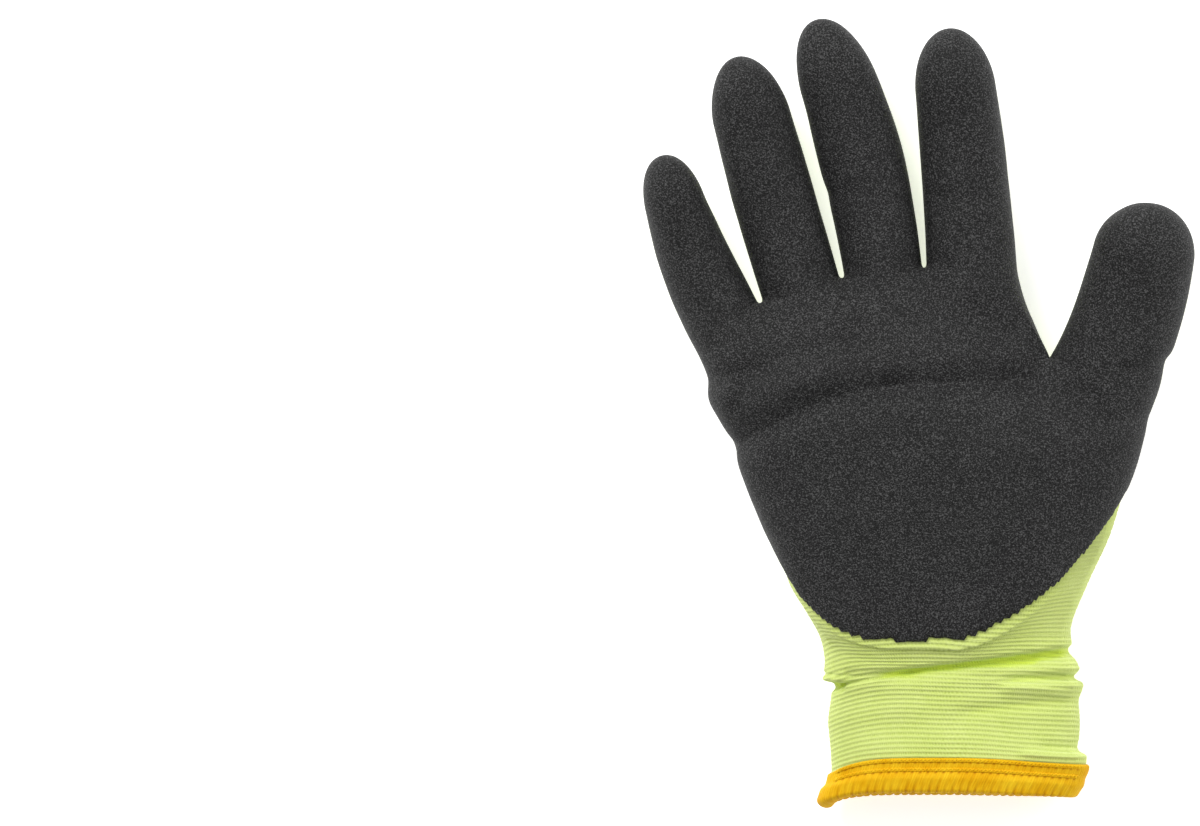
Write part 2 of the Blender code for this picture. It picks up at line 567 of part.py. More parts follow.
def make_binding(points, normals, rows):
    """The binding: a profile folded over the mouth's edge, carried round the cuff's own rows of points.

    The profile's outer leg is thin and stitched flat at the top, and thick and rolled below. Its inner leg
    is as high as the roll. Offsets are from the shell's outside, along its normals, and drops are past the
    mouth.
    """
    mouth, roll, top = (points[rows[row]] for row in range(3))
    mouth_out, roll_out, top_out = (normals[rows[row]] for row in range(3))
    down = mouth - roll
    down /= np.linalg.norm(down, axis=1, keepdims=True)
    inner = -SHELL_WALL - SEAT_GAP
    flat_face, roll_face = SEAT_GAP + BINDING_FLAT_WALL, SEAT_GAP + BINDING_ROLL_WALL
    inner_face = inner - BINDING_INNER_WALL
    profile = [
        top + top_out * SEAT_GAP,
        top + top_out * flat_face,
        roll + roll_out * flat_face,
        roll + (mouth - roll) * ROLL_SHOULDER + roll_out * roll_face,
        mouth + mouth_out * roll_face,
        mouth + mouth_out * (roll_face + (inner - roll_face) * ROLL_LOWEST) + down * roll_face,
        mouth + mouth_out * inner_face + down * SEAT_GAP,
        roll + roll_out * inner_face,
        roll + roll_out * inner,
        mouth + mouth_out * inner + down * SEAT_GAP,
        mouth + mouth_out * SEAT_GAP + down * SEAT_GAP,
        roll + roll_out * SEAT_GAP,
    ]
    grid = np.stack(profile)[:, :-1]
    count, columns = grid.shape[:2]
    index = np.arange(count * columns).reshape(count, columns)
    ahead, beside = np.roll(index, -1, axis=0), np.roll(index, -1, axis=1)
    both = np.roll(ahead, -1, axis=1)
    quads = np.stack([index, ahead, both, beside], axis=-1).reshape(-1, 4)
    flat = grid.reshape(-1, 3)
    return flat, triangulate(flat, quads)[0]


def make_material(name, colour, roughness):
    material = bpy.data.materials.new(name)
    material.use_nodes = True
    shader = material.node_tree.nodes["Principled BSDF"]
    shader.inputs["Base Color"].default_value = colour
    shader.inputs["Roughness"].default_value = roughness
    shader.inputs["Metallic"].default_value = 0.0
    material.diffuse_color = colour
    return material


def add_object(name, points, triangles, material):
    mesh = bpy.data.meshes.new(name)
    mesh.from_pydata(points.tolist(), [], triangles.tolist())
    mesh.materials.append(material)
    mesh.shade_smooth()
    mesh.set_sharp_from_angle(angle=np.radians(50))
    piece = bpy.data.objects.new(name, mesh)
    bpy.context.collection.objects.link(piece)
    return piece


def main():
    for leftover in list(bpy.data.objects):
        bpy.data.objects.remove(leftover)
    points, normals, triangles, coated, rows = make_skin()

    shell = make_wall(points, points - normals * SHELL_WALL, triangles)
    add_object("knit_shell", *shell, make_material("knit", KNIT_COLOUR, 0.9))

    under, over = points + normals * SEAT_GAP, points + normals * (SEAT_GAP + COATING_WALL)
    coating = make_wall(over, under, triangles[coated])
    add_object("palm_coating", *coating, make_material("sandy_coating", COATING_COLOUR, 0.85))

    binding = make_binding(points, normals, rows)
    add_object("cuff_binding", *binding, make_material("binding_thread", BINDING_COLOUR, 0.8))


main()
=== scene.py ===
# %% [markdown]
# An insulated work glove, palm up, dressed on its frame.
#
# The frame holds three solids of the right size: a knitted shell, the dipped coating on its palm and
# fingers, and the bound edge of its cuff. They are coarse and plain. This lesson makes the same three
# pieces again from one surface formula, much finer, so that the knitted courses, the ragged edge of the dip
# and the wound thread are real shapes. Everything is in metres: +X towards the thumb, +Y towards the
# fingertips, +Z out of the palm.

# %% Load the frame
from types import SimpleNamespace

import bpy
import numpy as np
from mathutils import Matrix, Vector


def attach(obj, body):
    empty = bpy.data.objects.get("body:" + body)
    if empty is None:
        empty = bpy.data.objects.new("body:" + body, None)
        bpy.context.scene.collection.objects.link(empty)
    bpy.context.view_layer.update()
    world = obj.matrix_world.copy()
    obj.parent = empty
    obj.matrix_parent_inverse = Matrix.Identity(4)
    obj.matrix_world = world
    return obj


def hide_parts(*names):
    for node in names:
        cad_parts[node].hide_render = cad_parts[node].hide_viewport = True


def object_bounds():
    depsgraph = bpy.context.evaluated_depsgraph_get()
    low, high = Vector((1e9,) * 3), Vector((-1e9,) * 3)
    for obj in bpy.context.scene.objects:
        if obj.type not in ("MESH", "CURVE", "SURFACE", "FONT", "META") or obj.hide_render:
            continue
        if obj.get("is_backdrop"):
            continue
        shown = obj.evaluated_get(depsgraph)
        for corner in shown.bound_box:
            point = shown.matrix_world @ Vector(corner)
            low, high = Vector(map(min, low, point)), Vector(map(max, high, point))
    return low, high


def in_mm(lengths):
    """Lengths in millimetres, rounded to be printed."""
    return [round(1000 * length, 1) for length in lengths]


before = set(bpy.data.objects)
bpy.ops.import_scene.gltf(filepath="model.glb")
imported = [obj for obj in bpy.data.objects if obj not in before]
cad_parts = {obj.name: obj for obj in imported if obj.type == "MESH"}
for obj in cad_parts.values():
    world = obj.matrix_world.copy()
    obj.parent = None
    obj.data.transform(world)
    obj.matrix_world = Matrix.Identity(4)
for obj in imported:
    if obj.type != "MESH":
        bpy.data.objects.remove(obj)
frame_low, frame_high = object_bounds()
print("nodes:", sorted(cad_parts), "and their box in mm:", in_mm(frame_high - frame_low))

# %% [markdown]
# The sizes that drive the form are those of the frame's own solids, so the fine pieces lie where the coarse
# ones do. A knitted glove has one more pair of sizes that matter to its looks: how high a course is, and
# how wide a wale. Courses are the rows of the knitting and wales its columns. On the hand three wales take
# two columns of the mesh, and the elastic cuff draws the same wales closer together.

# %% Sizes of the shell
PALM_WIDTH = 0.1085  # outer edge of the palm to the thumb's crotch
PALM_REACH = 0.0673  # origin up to the crotch of the index and middle fingers
PALM_DEPTH = 0.034  # back to palm, at the ball of the thumb
HEEL_LENGTH = 0.050  # origin down to the wrist
CUFF_LENGTH = 0.049  # wrist down to the mouth
CUFF_WIDTH = 0.081
CUFF_DEPTH = 0.0245
CUFF_SHIFT = 0.0058  # the cuff's middle line lies this far to the thumb side of the origin
SHELL_WALL = 0.0022  # knit and its brushed inside

FINGER_LENGTHS = {"pinky": 0.0575, "ring": 0.0780, "middle": 0.0845, "index": 0.0765}
THUMB_LENGTH = 0.0605
FINGER_DEPTH = 0.0215  # back to front, at the knuckles
THUMB_DEPTH = 0.0245
KNUCKLE_RISE = 0.0125  # of the fingers' middle lines above the surface, at the knuckles
THUMB_RISE = 0.0138
TIP_LIFT = 0.0095  # how far a digit's middle line curls up from root to tip
CROTCH_GAP = 0.0040  # between two digits, just above their crotch
CROTCH_HEIGHT = 0.0125  # the web's height from back to front
THUMB_CROTCH_HEIGHT = 0.0150
CROTCH_RADIUS = 0.0026  # length over which a crotch opens to its gap
CROTCH_BLEND = 0.0095  # length over which a web's height becomes the digit's depth
CROTCH_DIMPLE = 0.0085  # how far round a crotch the palm dips down to it

# %% Sizes of the coating, the binding and the knitting
SEAT_GAP = 0.0003  # between touching pieces
COATING_WALL = 0.0010
BINDING_HEIGHT = 0.0095
BINDING_ROLL = 0.0058  # height of the rolled part, below the flat stitched part
BINDING_FLAT_WALL = 0.0008
BINDING_ROLL_WALL = 0.0018
BINDING_INNER_WALL = 0.0010

COURSE = 0.00155  # height of one row of stitches
CUFF_COURSES = 34  # courses in the elastic cuff
ROWS_IN_COURSE = 4  # mesh rows to a course
WALES_IN_COLUMN = 1.5  # wales to a mesh column of the hand
WELD = 1e-7  # points this near are one
TINY = 1e-15
print("the cuff is", CUFF_COURSES, "courses or", round(1000 * CUFF_COURSES * COURSE, 1), "mm of knitting")

# %% [markdown]
# The form is told in short tables, one row for each section, digit or fold. A table reads better than a
# list of points because each column says what it is. Lengths are shares of the sizes above, so the form
# follows them.


# %% Tables of sections
def table(columns, *rows):
    """Rows of numbers under named columns, as one array for each column."""
    return SimpleNamespace(**dict(zip(columns.split(), np.array(rows, float).T)))


# The cuff from its mouth to the wrist, in shares of CUFF_LENGTH, CUFF_WIDTH and CUFF_DEPTH
CUFF_SECTIONS = table(
    "down left right left_drop right_drop back_drop depth lift",
    (1.000, -0.524, 0.470, 0.092, 0.031, 0.020, 0.90, 1.10),
    (0.826, -0.495, 0.523, 0.112, 0.051, 0.020, 0.96, 1.08),
    (0.714, -0.495, 0.500, 0.092, 0.031, 0.010, 1.00, 0.50),
    (0.592, -0.500, 0.500, 0.061, 0.010, 0.000, 1.00, 0.05),
    (0.469, -0.500, 0.497, 0.031, 0.010, 0.000, 1.00, 0.00),
    (0.378, -0.488, 0.508, 0.000, 0.000, -0.030, 1.00, 0.00),
    (0.296, -0.508, 0.490, -0.031, -0.031, -0.080, 1.00, 0.00),
    (0.224, -0.516, 0.476, -0.082, -0.082, -0.140, 1.01, 0.00),
    (0.173, -0.541, 0.461, -0.173, -0.214, -0.230, 1.02, 0.00),
)
# The heel of the hand from the wrist to the ball of the thumb, in shares of PALM_WIDTH, HEEL_LENGTH and
# PALM_DEPTH
HEEL_SECTIONS = table(
    "left_x left_y right_x right_y front_y back_y depth",
    (-0.392, -0.84, 0.452, -0.66, -1.126, -0.76, 0.77),
    (-0.437, -0.68, 0.515, -0.36, -1.082, -0.56, 0.81),
    (-0.462, -0.51, 0.558, -0.06, -1.036, -0.32, 0.85),
    (-0.530, -0.18, 0.586, 0.12, -0.540, -0.04, 0.94),
    (-0.602, 0.22, 0.605, 0.28, 0.060, 0.22, 1.00),
)
COATING_SECTION = len(CUFF_SECTIONS.down) + 2  # the section that runs along the coating's lower edge
LAST_SECTION = len(CUFF_SECTIONS.down) + len(HEEL_SECTIONS.depth) - 1
FORK_DEPTH = 0.97  # depth of the hand where the thumb leaves it, as a share of PALM_DEPTH

# Where the shell forks, as shares of PALM_WIDTH and PALM_REACH, from the outer edge of the hand to the
# thumb's side
THUMB_FORK = table("x y", (-0.674, 0.518), (0.323, 0.568), (0.625, 0.334))
KNUCKLES = table("x y", (-0.715, 0.660), (-0.519, 0.832), (-0.279, 0.952), (-0.037, 1.000), (0.227, 1.025))
print(len(CUFF_SECTIONS.down), "cuff sections,", len(HEEL_SECTIONS.depth), "heel sections")

# %% Table of the digits
DIGIT_WIDTHS = table(
    "along pinky ring middle index thumb",
    (0.00, 1.000, 1.000, 1.000, 1.000, 1.000),
    (0.25, 0.985, 1.020, 1.060, 0.960, 0.950),
    (0.50, 0.900, 1.020, 1.100, 0.935, 0.930),
    (0.78, 0.760, 0.960, 0.990, 0.875, 0.880),
    (1.00, 0.700, 0.900, 0.920, 0.840, 0.840),
)
# Where the digits point at their tips, in degrees from +Y towards +X
TIP_DIRECTIONS = {"pinky": -13.5, "ring": -14.5, "middle": -23.5, "index": -8.5, "thumb": 6.0}
DOME_START = 0.76  # share of a digit's length where its rounded tip begins
TIP_DEPTH = 0.84  # share of the root's depth that is left at the tip

# %% [markdown]
# Folds are what make a stuffed knit look like cloth. Each is a long soft ridge or crease across the palm
# side, named by its two ends and by how far it spreads above and below its line. The first rows are in the
# frame's solids too: the creases of the palm, the notches of its outline, and the lips and rolls of the
# gathered wrist. The finer ones after them are only in this dress.

# %% Table of the folds
FOLDS = table(
    "from_x from_y to_x to_y bow height above below",
    (-0.610, 0.100, -0.120, 0.284, 0.026, -0.0260, 0.042, 0.044),
    (-0.645, 0.085, -0.560, 0.125, 0.000, -0.0120, 0.014, 0.016),
    (-0.720, 0.270, -0.600, 0.260, 0.000, 0.0260, 0.045, 0.058),
    (-0.170, 0.283, 0.320, 0.298, 0.000, -0.0250, 0.040, 0.044),
    (-0.680, 0.278, -0.205, 0.428, 0.010, -0.0190, 0.040, 0.040),
    (0.384, 0.283, 0.519, 0.149, 0.015, -0.0120, 0.040, 0.040),
    (0.540, 0.330, 0.720, 0.365, 0.000, -0.0120, 0.020, 0.050),
    (-0.326, -0.556, 0.400, -0.484, -0.016, 0.0100, 0.050, 0.013),
    (-0.150, -0.580, 0.400, -0.507, 0.000, -0.0200, 0.013, 0.020),
    (-0.330, -0.630, 0.200, -0.560, 0.017, 0.0080, 0.009, 0.040),
    (-0.335, -0.584, -0.270, -0.588, 0.000, 0.0130, 0.022, 0.020),
    (-0.335, -0.614, -0.275, -0.616, 0.000, -0.0180, 0.012, 0.012),
    (0.300, -0.545, 0.450, -0.556, 0.000, 0.0090, 0.030, 0.018),
    (0.200, -0.594, 0.440, -0.582, 0.000, -0.0120, 0.012, 0.012),
    (0.190, -0.620, 0.460, -0.607, 0.000, 0.0110, 0.014, 0.018),
    (0.070, -0.690, 0.440, -0.648, 0.000, -0.0090, 0.020, 0.022),
    (0.310, -0.792, 0.460, -0.796, 0.000, -0.0070, 0.018, 0.018),
)
# Finer folds that only this dress has: at the wrist the steps under both lips, the small roll between them
# at the left and the wrinkles at the right, then the swelling over the band, soft ridges and creases of the
# palm, and a filling that keeps the crease at the palm's outer notch from closing to a slit
FINE_FOLDS = table(
    "from_x from_y to_x to_y bow height above below",
    (-0.180, -0.572, 0.410, -0.494, -0.008, -0.0090, 0.004, 0.016),
    (-0.140, -0.595, 0.400, -0.520, -0.006, -0.0080, 0.010, 0.020),
    (-0.340, -0.572, -0.140, -0.575, -0.008, -0.0080, 0.004, 0.007),
    (-0.340, -0.588, -0.110, -0.577, 0.000, 0.0060, 0.010, 0.012),
    (-0.335, -0.622, -0.060, -0.573, 0.004, -0.0100, 0.006, 0.004),
    (-0.060, -0.575, 0.160, -0.560, 0.000, 0.0040, 0.004, 0.014),
    (0.080, -0.562, 0.450, -0.567, 0.000, 0.0060, 0.009, 0.010),
    (0.120, -0.600, 0.400, -0.640, 0.004, 0.0040, 0.010, 0.014),
    (0.250, -0.812, 0.480, -0.826, 0.000, 0.0110, 0.012, 0.013),
    (-0.380, -0.735, 0.100, -0.660, 0.012, 0.0030, 0.030, 0.030),
    (-0.180, 0.425, 0.320, 0.345, 0.000, 0.0080, 0.040, 0.040),
    (-0.620, 0.200, -0.250, 0.345, 0.012, 0.0070, 0.035, 0.035),
    (-0.660, 0.430, 0.200, 0.560, 0.010, 0.0050, 0.050, 0.050),
    (0.090, 0.490, 0.240, 0.430, 0.000, -0.0090, 0.045, 0.040),
    (0.320, 0.225, 0.420, 0.130, 0.010, -0.0040, 0.026, 0.026),
    (-0.330, 0.858, -0.210, 0.868, -0.006, -0.0035, 0.030, 0.030),
    (0.000, 0.842, 0.150, 0.832, -0.006, -0.0035, 0.030, 0.030),
    (-0.020, 0.500, 0.200, 0.530, 0.006, -0.0030, 0.030, 0.030),
    (-0.645, 0.085, -0.560, 0.125, 0.000, 0.0085, 0.014, 0.016),
)
FOLD_FADE = 0.12  # share of a fold's length over which it dies out at each end
FOLD_NORMALS = (-0.7, 0.0)  # upward share of the surface's normal at which folds begin and are whole
print(len(FOLDS.bow), "folds and", len(FINE_FOLDS.bow), "finer ones")

# %% Form of the sections
BODY_ROUNDNESS = 2.4  # 2 is an ellipse, and more is squarer
DIGIT_ROUNDNESS = 2.2
BACK_ROUNDNESS = 3.3
BACK_REACH = 1.12  # the back's arc would run this far past the surface, and is flat there
EDGE_RISE = 0.45  # share of the depth at which the side edges lie
LEFT_SWEEP = 5.0  # how late a row leaves its front level towards the left edge
RIGHT_SWEEP = 1.7
BODY_SIDE = np.radians(25)  # half of the turn that counts as a side
DIGIT_SIDE = np.radians(35)
SLOPE_STEP = 0.1  # share of the last section over which the body's direction is read

# %% [markdown]
# Three small helpers carry every curve here: a spline that reads a table at any place between its rows, a
# smooth step from 0 to 1, and a quarter of a circle. A ring is the angles round a section, with a set number
# of columns for each digit's front, back and sides. Whatever the number, the columns of a whole hand can be
# shared out among its digits, and that is how the shell forks without a seam.


# %% Curves and rings
def spline(values, at):
    """Smooth curve through values at 0, 1, 2 ..., read at the given places.

    It is the cubic Hermite curve: each value keeps its place, with the slope between its two neighbours.
    """
    slope = np.gradient(values)
    low = np.clip(np.floor(at).astype(int), 0, len(values) - 2)
    t = at - low
    leave = values[low] * (1 + 2 * t) * (1 - t) ** 2 + slope[low] * t * (1 - t) ** 2
    arrive = values[low + 1] * t**2 * (3 - 2 * t) - slope[low + 1] * t**2 * (1 - t)
    return leave + arrive


def smooth_step(value, low, high):
    """0 up to low and 1 from high on, with the curve 3t^2 - 2t^3 between."""
    t = np.clip((value - low) / (high - low), 0, 1)
    return t * t * (3 - 2 * t)


def quarter_round(value):
    """0 at 0 and 1 from 1 on, rising as a quarter of a circle: the root of 1 - (1 - value)^2."""
    return np.sqrt(1 - np.clip(1 - value, 0, 1) ** 2)


def loop_of(angle, side):
    """A ring's angles with their sines and cosines. web runs from -1 on the back to 1 on the front."""
    web = np.clip(np.arcsin(np.sin(angle)) / side, -1, 1)
    return SimpleNamespace(angle=angle, cosine=np.cos(angle), sine=np.sin(angle), side=side, web=web)


def ring(cut, digits, side):
    """Angles round the section of that many digits, from the left side's lower corner round to itself."""
    arcs = [
        np.linspace(np.pi + side, np.pi - side, cut.side + 1),
        np.linspace(np.pi - side, side, cut.front * digits + 1),
        np.linspace(side, -side, cut.side + 1),
        np.linspace(-side, side - np.pi, cut.back * digits + 1),
    ]
    return loop_of(np.concatenate([turn[:-1] for turn in arcs] + [arcs[0][:1]]), side)


# %% Share a ring out among digits
def runs_of(cut, points, digits):
    """The four runs of a ring, each with both its ends: left side, front, right side and back."""
    ends = np.cumsum([0, cut.side, cut.front * digits, cut.side, cut.back * digits])
    return [points[first : last + 1] for first, last in zip(ends, ends[1:])]


def merged(cut, children, counts):
    """One parent ring round several children's rings, which share a side with their neighbours."""
    runs = [runs_of(cut, points, count) for points, count in zip(children, counts)]
    fronts = [run[1][:-1] for run in runs]
    backs = [run[3][:-1] for run in reversed(runs)]
    return np.concatenate([runs[0][0][:-1], *fronts, runs[-1][2][:-1], *backs, runs[0][0][:1]])


def split(cut, parent, counts):
    """The reverse of merged. A side between two children is straight, from the parent's front to its back."""
    left, front, right, back = runs_of(cut, parent, sum(counts))
    back = back[::-1]
    share = np.linspace(0, 1, cut.side + 1)[:, None]
    children, first = [], 0
    for index, count in enumerate(counts):
        last = first + count
        over = front[first * cut.front : last * cut.front + 1]
        under = back[first * cut.back : last * cut.back + 1]
        start = left if index == 0 else under[0] * (1 - share) + over[0] * share
        end = right if index == len(counts) - 1 else over[-1] * (1 - share) + under[-1] * share
        run = [start, over, end, under[::-1]]
        children.append(np.concatenate([piece[:-1] for piece in run] + [start[:1]]))
        first = last
    return children


def share_sides(cut, rings, counts):
    """Copy each ring's right side onto the left side of the next ring, and close every ring."""
    for before, count, after in zip(rings, counts, rings[1:]):
        first = cut.side + cut.front * count
        after[: cut.side + 1] = before[first : first + cut.side + 1][::-1]
    for points in rings:
        points[-1] = points[0]
    return rings


# %% [markdown]
# A digit is a tube carried along an arc, with a round end. Beside a crotch its wall has to leave its
# neighbour's, so that side opens in a small fillet, and its height grows from the low web to the whole
# digit.


# %% Surface of a digit
def fork_points(fork):
    """The fork's points in metres, in the plane."""
    return np.stack([fork.x * PALM_WIDTH, fork.y * PALM_REACH], axis=-1)


def make_digit(name, length, left, right, joined_left, joined_right, depth, rise, web_height):
    """A digit's sizes. Its root runs from left to right, and a joined side shares a crotch."""
    chord = np.linalg.norm(right - left)
    across = (right - left) / chord
    gap_left, gap_right = CROTCH_GAP / 2 * joined_left, CROTCH_GAP / 2 * joined_right
    half_root = (chord - gap_left - gap_right) / 2
    return SimpleNamespace(
        length=length, joined_left=joined_left, joined_right=joined_right, depth=depth, rise=rise,
        web_height=web_height, gap_left=gap_left, gap_right=gap_right, half_root=half_root,
        root=left + across * (gap_left + half_root), start=np.arctan2(-across[1], across[0]),
        end=np.radians(TIP_DIRECTIONS[name]), widths=getattr(DIGIT_WIDTHS, name),
    )


def digit_surface(digit, loop, along):
    """Points of a digit for each share of its length (rows) and each angle of the ring (columns).

    The middle line is an arc that turns from square across the root to the tip's direction, and lifts with
    the square of the length. Each section is a superellipse: its half width times |cos| to the power 2 /
    roundness, and the same with the sine for its height. Both shrink over the tip as a quarter of an
    ellipse.
    """
    t = np.asarray(along, float)[:, None]
    turn = digit.end - digit.start
    direction = digit.start + turn * t
    radius = digit.length / turn
    middle_x = digit.root[0] + radius * (np.cos(digit.start) - np.cos(direction))
    middle_y = digit.root[1] + radius * (np.sin(direction) - np.sin(digit.start))
    middle = np.stack([middle_x, middle_y, digit.rise + TIP_LIFT * t**2], axis=-1)
    slope = 2 * TIP_LIFT * t / digit.length
    ahead = np.stack([np.sin(direction), np.cos(direction), slope], axis=-1)
    across = np.stack([np.cos(direction), -np.sin(direction), 0 * t], axis=-1)
    upward = np.cross(across, ahead / np.linalg.norm(ahead, axis=-1, keepdims=True))

    dome = quarter_round((1 - t) / (1 - DOME_START))
    width = spline(digit.widths, np.interp(t, DIGIT_WIDTHS.along, np.arange(len(DIGIT_WIDTHS.along))))
    half_width = digit.half_root * width * dome
    half_depth = digit.depth / 2 * (1 + (TIP_DEPTH - 1) * t) * dome

    left = loop.cosine < 0
    joined = np.where(left, digit.joined_left, digit.joined_right)
    gap = np.where(left, digit.gap_left, digit.gap_right)
    travel = t * digit.length
    fillet = joined * (1 - quarter_round(travel / CROTCH_RADIUS))
    near = joined * (1 - smooth_step(travel, 0, CROTCH_BLEND))
    share = np.abs(loop.cosine) ** (2 / DIGIT_ROUNDNESS)
    squared = np.minimum(share / np.cos(loop.side) ** (2 / DIGIT_ROUNDNESS), 1.0)
    reach = (half_width + gap * fillet) * (share + (squared - share) * fillet)
    bow = np.sign(loop.sine) * np.abs(loop.sine) ** (2 / DIGIT_ROUNDNESS)
    weight = near * squared**3
    height = half_depth * bow * (1 - weight) + loop.web * digit.web_height / 2 * weight
    points = middle + (np.sign(loop.cosine) * reach)[:, :, None] * across + height[:, :, None] * upward
    if along[-1] == 1:
        points[-1] = middle[-1]
    return points


# %% The five digits
hand_points, knuckle_points = fork_points(THUMB_FORK), fork_points(KNUCKLES)
fingers = [
    make_digit(
        name, length, knuckle_points[at], knuckle_points[at + 1], at > 0, at < len(FINGER_LENGTHS) - 1,
        FINGER_DEPTH, KNUCKLE_RISE, CROTCH_HEIGHT,
    )
    for at, (name, length) in enumerate(FINGER_LENGTHS.items())
]
thumb = make_digit(
    "thumb", THUMB_LENGTH, hand_points[1], hand_points[2], True, False,
    THUMB_DEPTH, THUMB_RISE, THUMB_CROTCH_HEIGHT,
)
all_digits = [*fingers, thumb]
print("digit widths at the root, in mm:", in_mm(2 * one.half_root for one in all_digits))

# %% [markdown]
# The cuff and the heel of the hand are one tube too, but they lie on a table. So the back's arc is cut off
# flat at the surface, and each row of the knitting sags at its two ends, as the photographed cuff does.


# %% Surface of the cuff and heel
def flattened_back(sine, depth):
    """Height of the back: an arc that is cut flat where it would pass below the surface."""
    return EDGE_RISE * depth * np.maximum(0, 1 - BACK_REACH * np.abs(sine) ** (2 / BACK_ROUNDNESS))


def raised_front(sine, depth):
    """Height of the front, from the side edges up to the whole depth, as a superellipse."""
    return depth * (EDGE_RISE + (1 - EDGE_RISE) * np.abs(sine) ** (2 / BODY_ROUNDNESS))


def body_rows():
    """All sections of the cuff and the heel in one table, in metres."""
    cuff, heel = CUFF_SECTIONS, HEEL_SECTIONS
    front = -HEEL_LENGTH - cuff.down * CUFF_LENGTH
    joined = {
        "left_x": (CUFF_SHIFT + cuff.left * CUFF_WIDTH, heel.left_x * PALM_WIDTH),
        "right_x": (CUFF_SHIFT + cuff.right * CUFF_WIDTH, heel.right_x * PALM_WIDTH),
        "left_y": (front - cuff.left_drop * CUFF_LENGTH, heel.left_y * HEEL_LENGTH),
        "right_y": (front - cuff.right_drop * CUFF_LENGTH, heel.right_y * HEEL_LENGTH),
        "front_y": (front, heel.front_y * HEEL_LENGTH),
        "back_y": (front - cuff.back_drop * CUFF_LENGTH, heel.back_y * HEEL_LENGTH),
        "depth": (cuff.depth * CUFF_DEPTH, heel.depth * PALM_DEPTH),
        "lift": (cuff.lift * (BINDING_ROLL_WALL + SEAT_GAP), 0 * heel.depth),
    }
    return SimpleNamespace(**{name: np.concatenate(pair) for name, pair in joined.items()})


def body_surface(loop, places):
    """Points of the cuff and heel. places are along the sections, one for each row or one for each point.

    Across, a point lies at the superellipse's share of the half width. Its row runs level over the front
    and the back, and sweeps to the height of the side edges with a power of that share.
    """
    rows = body_rows()
    at = places if places.ndim == 2 else places[:, None]
    share = np.sign(loop.cosine) * np.abs(loop.cosine) ** (2 / BODY_ROUNDNESS)
    left_x, right_x = spline(rows.left_x, at), spline(rows.right_x, at)
    x = (left_x + right_x) / 2 + share * (right_x - left_x) / 2
    edge_y = spline(rows.left_y, at) * (1 - share) / 2 + spline(rows.right_y, at) * (1 + share) / 2
    front = loop.sine >= 0
    middle_y = np.where(front, spline(rows.front_y, at), spline(rows.back_y, at))
    sweep = np.abs(share) ** np.where(share < 0, LEFT_SWEEP, RIGHT_SWEEP)
    depth = spline(rows.depth, at)
    height = np.where(front, raised_front(loop.sine, depth), flattened_back(loop.sine, depth))
    return np.stack([x, middle_y * (1 - sweep) + edge_y * sweep, height + spline(rows.lift, at)], axis=-1)


def hand_section(loop):
    """The hand's section where the thumb leaves it: the body's form, squared off at the thumb's crotch."""
    left, crotch = hand_points[:2]
    share = np.abs(loop.cosine) ** (2 / BODY_ROUNDNESS)
    joined = loop.cosine > 0
    squared = np.minimum(share / np.cos(loop.side) ** (2 / BODY_ROUNDNESS), 1.0)
    reach = np.sign(loop.cosine) * np.where(joined, squared, share)
    flat = (left + crotch) / 2 + reach[:, None] * (crotch - left) / 2
    depth = FORK_DEPTH * PALM_DEPTH
    body = np.where(loop.sine >= 0, raised_front(loop.sine, depth), flattened_back(loop.sine, depth))
    web = thumb.rise + loop.web * thumb.web_height / 2
    weight = joined * squared**3
    return np.column_stack([flat, body * (1 - weight) + web * weight])


# %% [markdown]
# Knitting is even along each wale: every course is as high as the next. So the rows of the mesh are set by
# walking up each column of the surface and measuring the way, and the same walk numbers the courses for the
# stitch pattern.


# %% Walk up the wales
WALK_STEPS = 500


def lengths_up(grid):
    """Way walked up each column of a grid, from its first row."""
    steps = np.linalg.norm(np.diff(grid, axis=0), axis=-1)
    return np.concatenate([np.zeros((1, grid.shape[1])), np.cumsum(steps, axis=0)])


def walk(loop):
    """Places along the body's sections, and how far each column has come at each of them."""
    places = np.linspace(0, LAST_SECTION, WALK_STEPS)
    return places, lengths_up(body_surface(loop, places))


def places_at(ways, places, lengths):
    """The places along the body's sections where each column has come the given way."""
    columns = [np.interp(way, length, places) for way, length in zip(ways.T, lengths.T)]
    return np.stack(columns, axis=1)


# %% Rows that blend between two rings
def blend_rows(start, start_way, end, end_way, count):
    """Rows of points from start to end that leave and arrive along the given ways (cubic Hermite curves)."""
    t = np.linspace(0, 1, count + 1)[:, None, None]
    leave = start * (1 + 2 * t) * (1 - t) ** 2 + start_way * t * (1 - t) ** 2
    arrive = end * t**2 * (3 - 2 * t) - end_way * t**2 * (1 - t)
    return leave + arrive


def scaled(way, like):
    """Vectors along way with the lengths of like."""
    length = np.linalg.norm(way, axis=-1, keepdims=True)
    return way / np.maximum(length, TINY) * np.linalg.norm(like, axis=-1, keepdims=True)


def near_crotch(points, crotches):
    """1 at a crotch, dying out round it as a bell curve."""
    distance = np.linalg.norm(points[:, None, :2] - crotches, axis=2).min(axis=1)
    return np.exp(-((distance / CROTCH_DIMPLE) ** 2))[:, None]


def bridge(start, start_way, end, end_way, loop, crotches, spacing):
    """Rows from one ring up to the next. They arrive along end_way, but dive to the web beside a crotch."""
    rise = end - start
    near = near_crotch(end, crotches)
    dive = -loop.web[:, None] * np.array([0, 0, CROTCH_DIMPLE])
    count = int(np.linalg.norm(rise, axis=1).max() / spacing) + 1
    grid = blend_rows(start, start_way, end, scaled(end_way, rise) * (1 - near) + dive * near, count)
    grid[:, -1] = grid[:, 0]
    return grid


def heading(digit, like):
    """The way a digit leaves its root, in the plane, once for each of some points."""
    return np.broadcast_to([np.sin(digit.start), np.cos(digit.start), 0.0], like.shape)


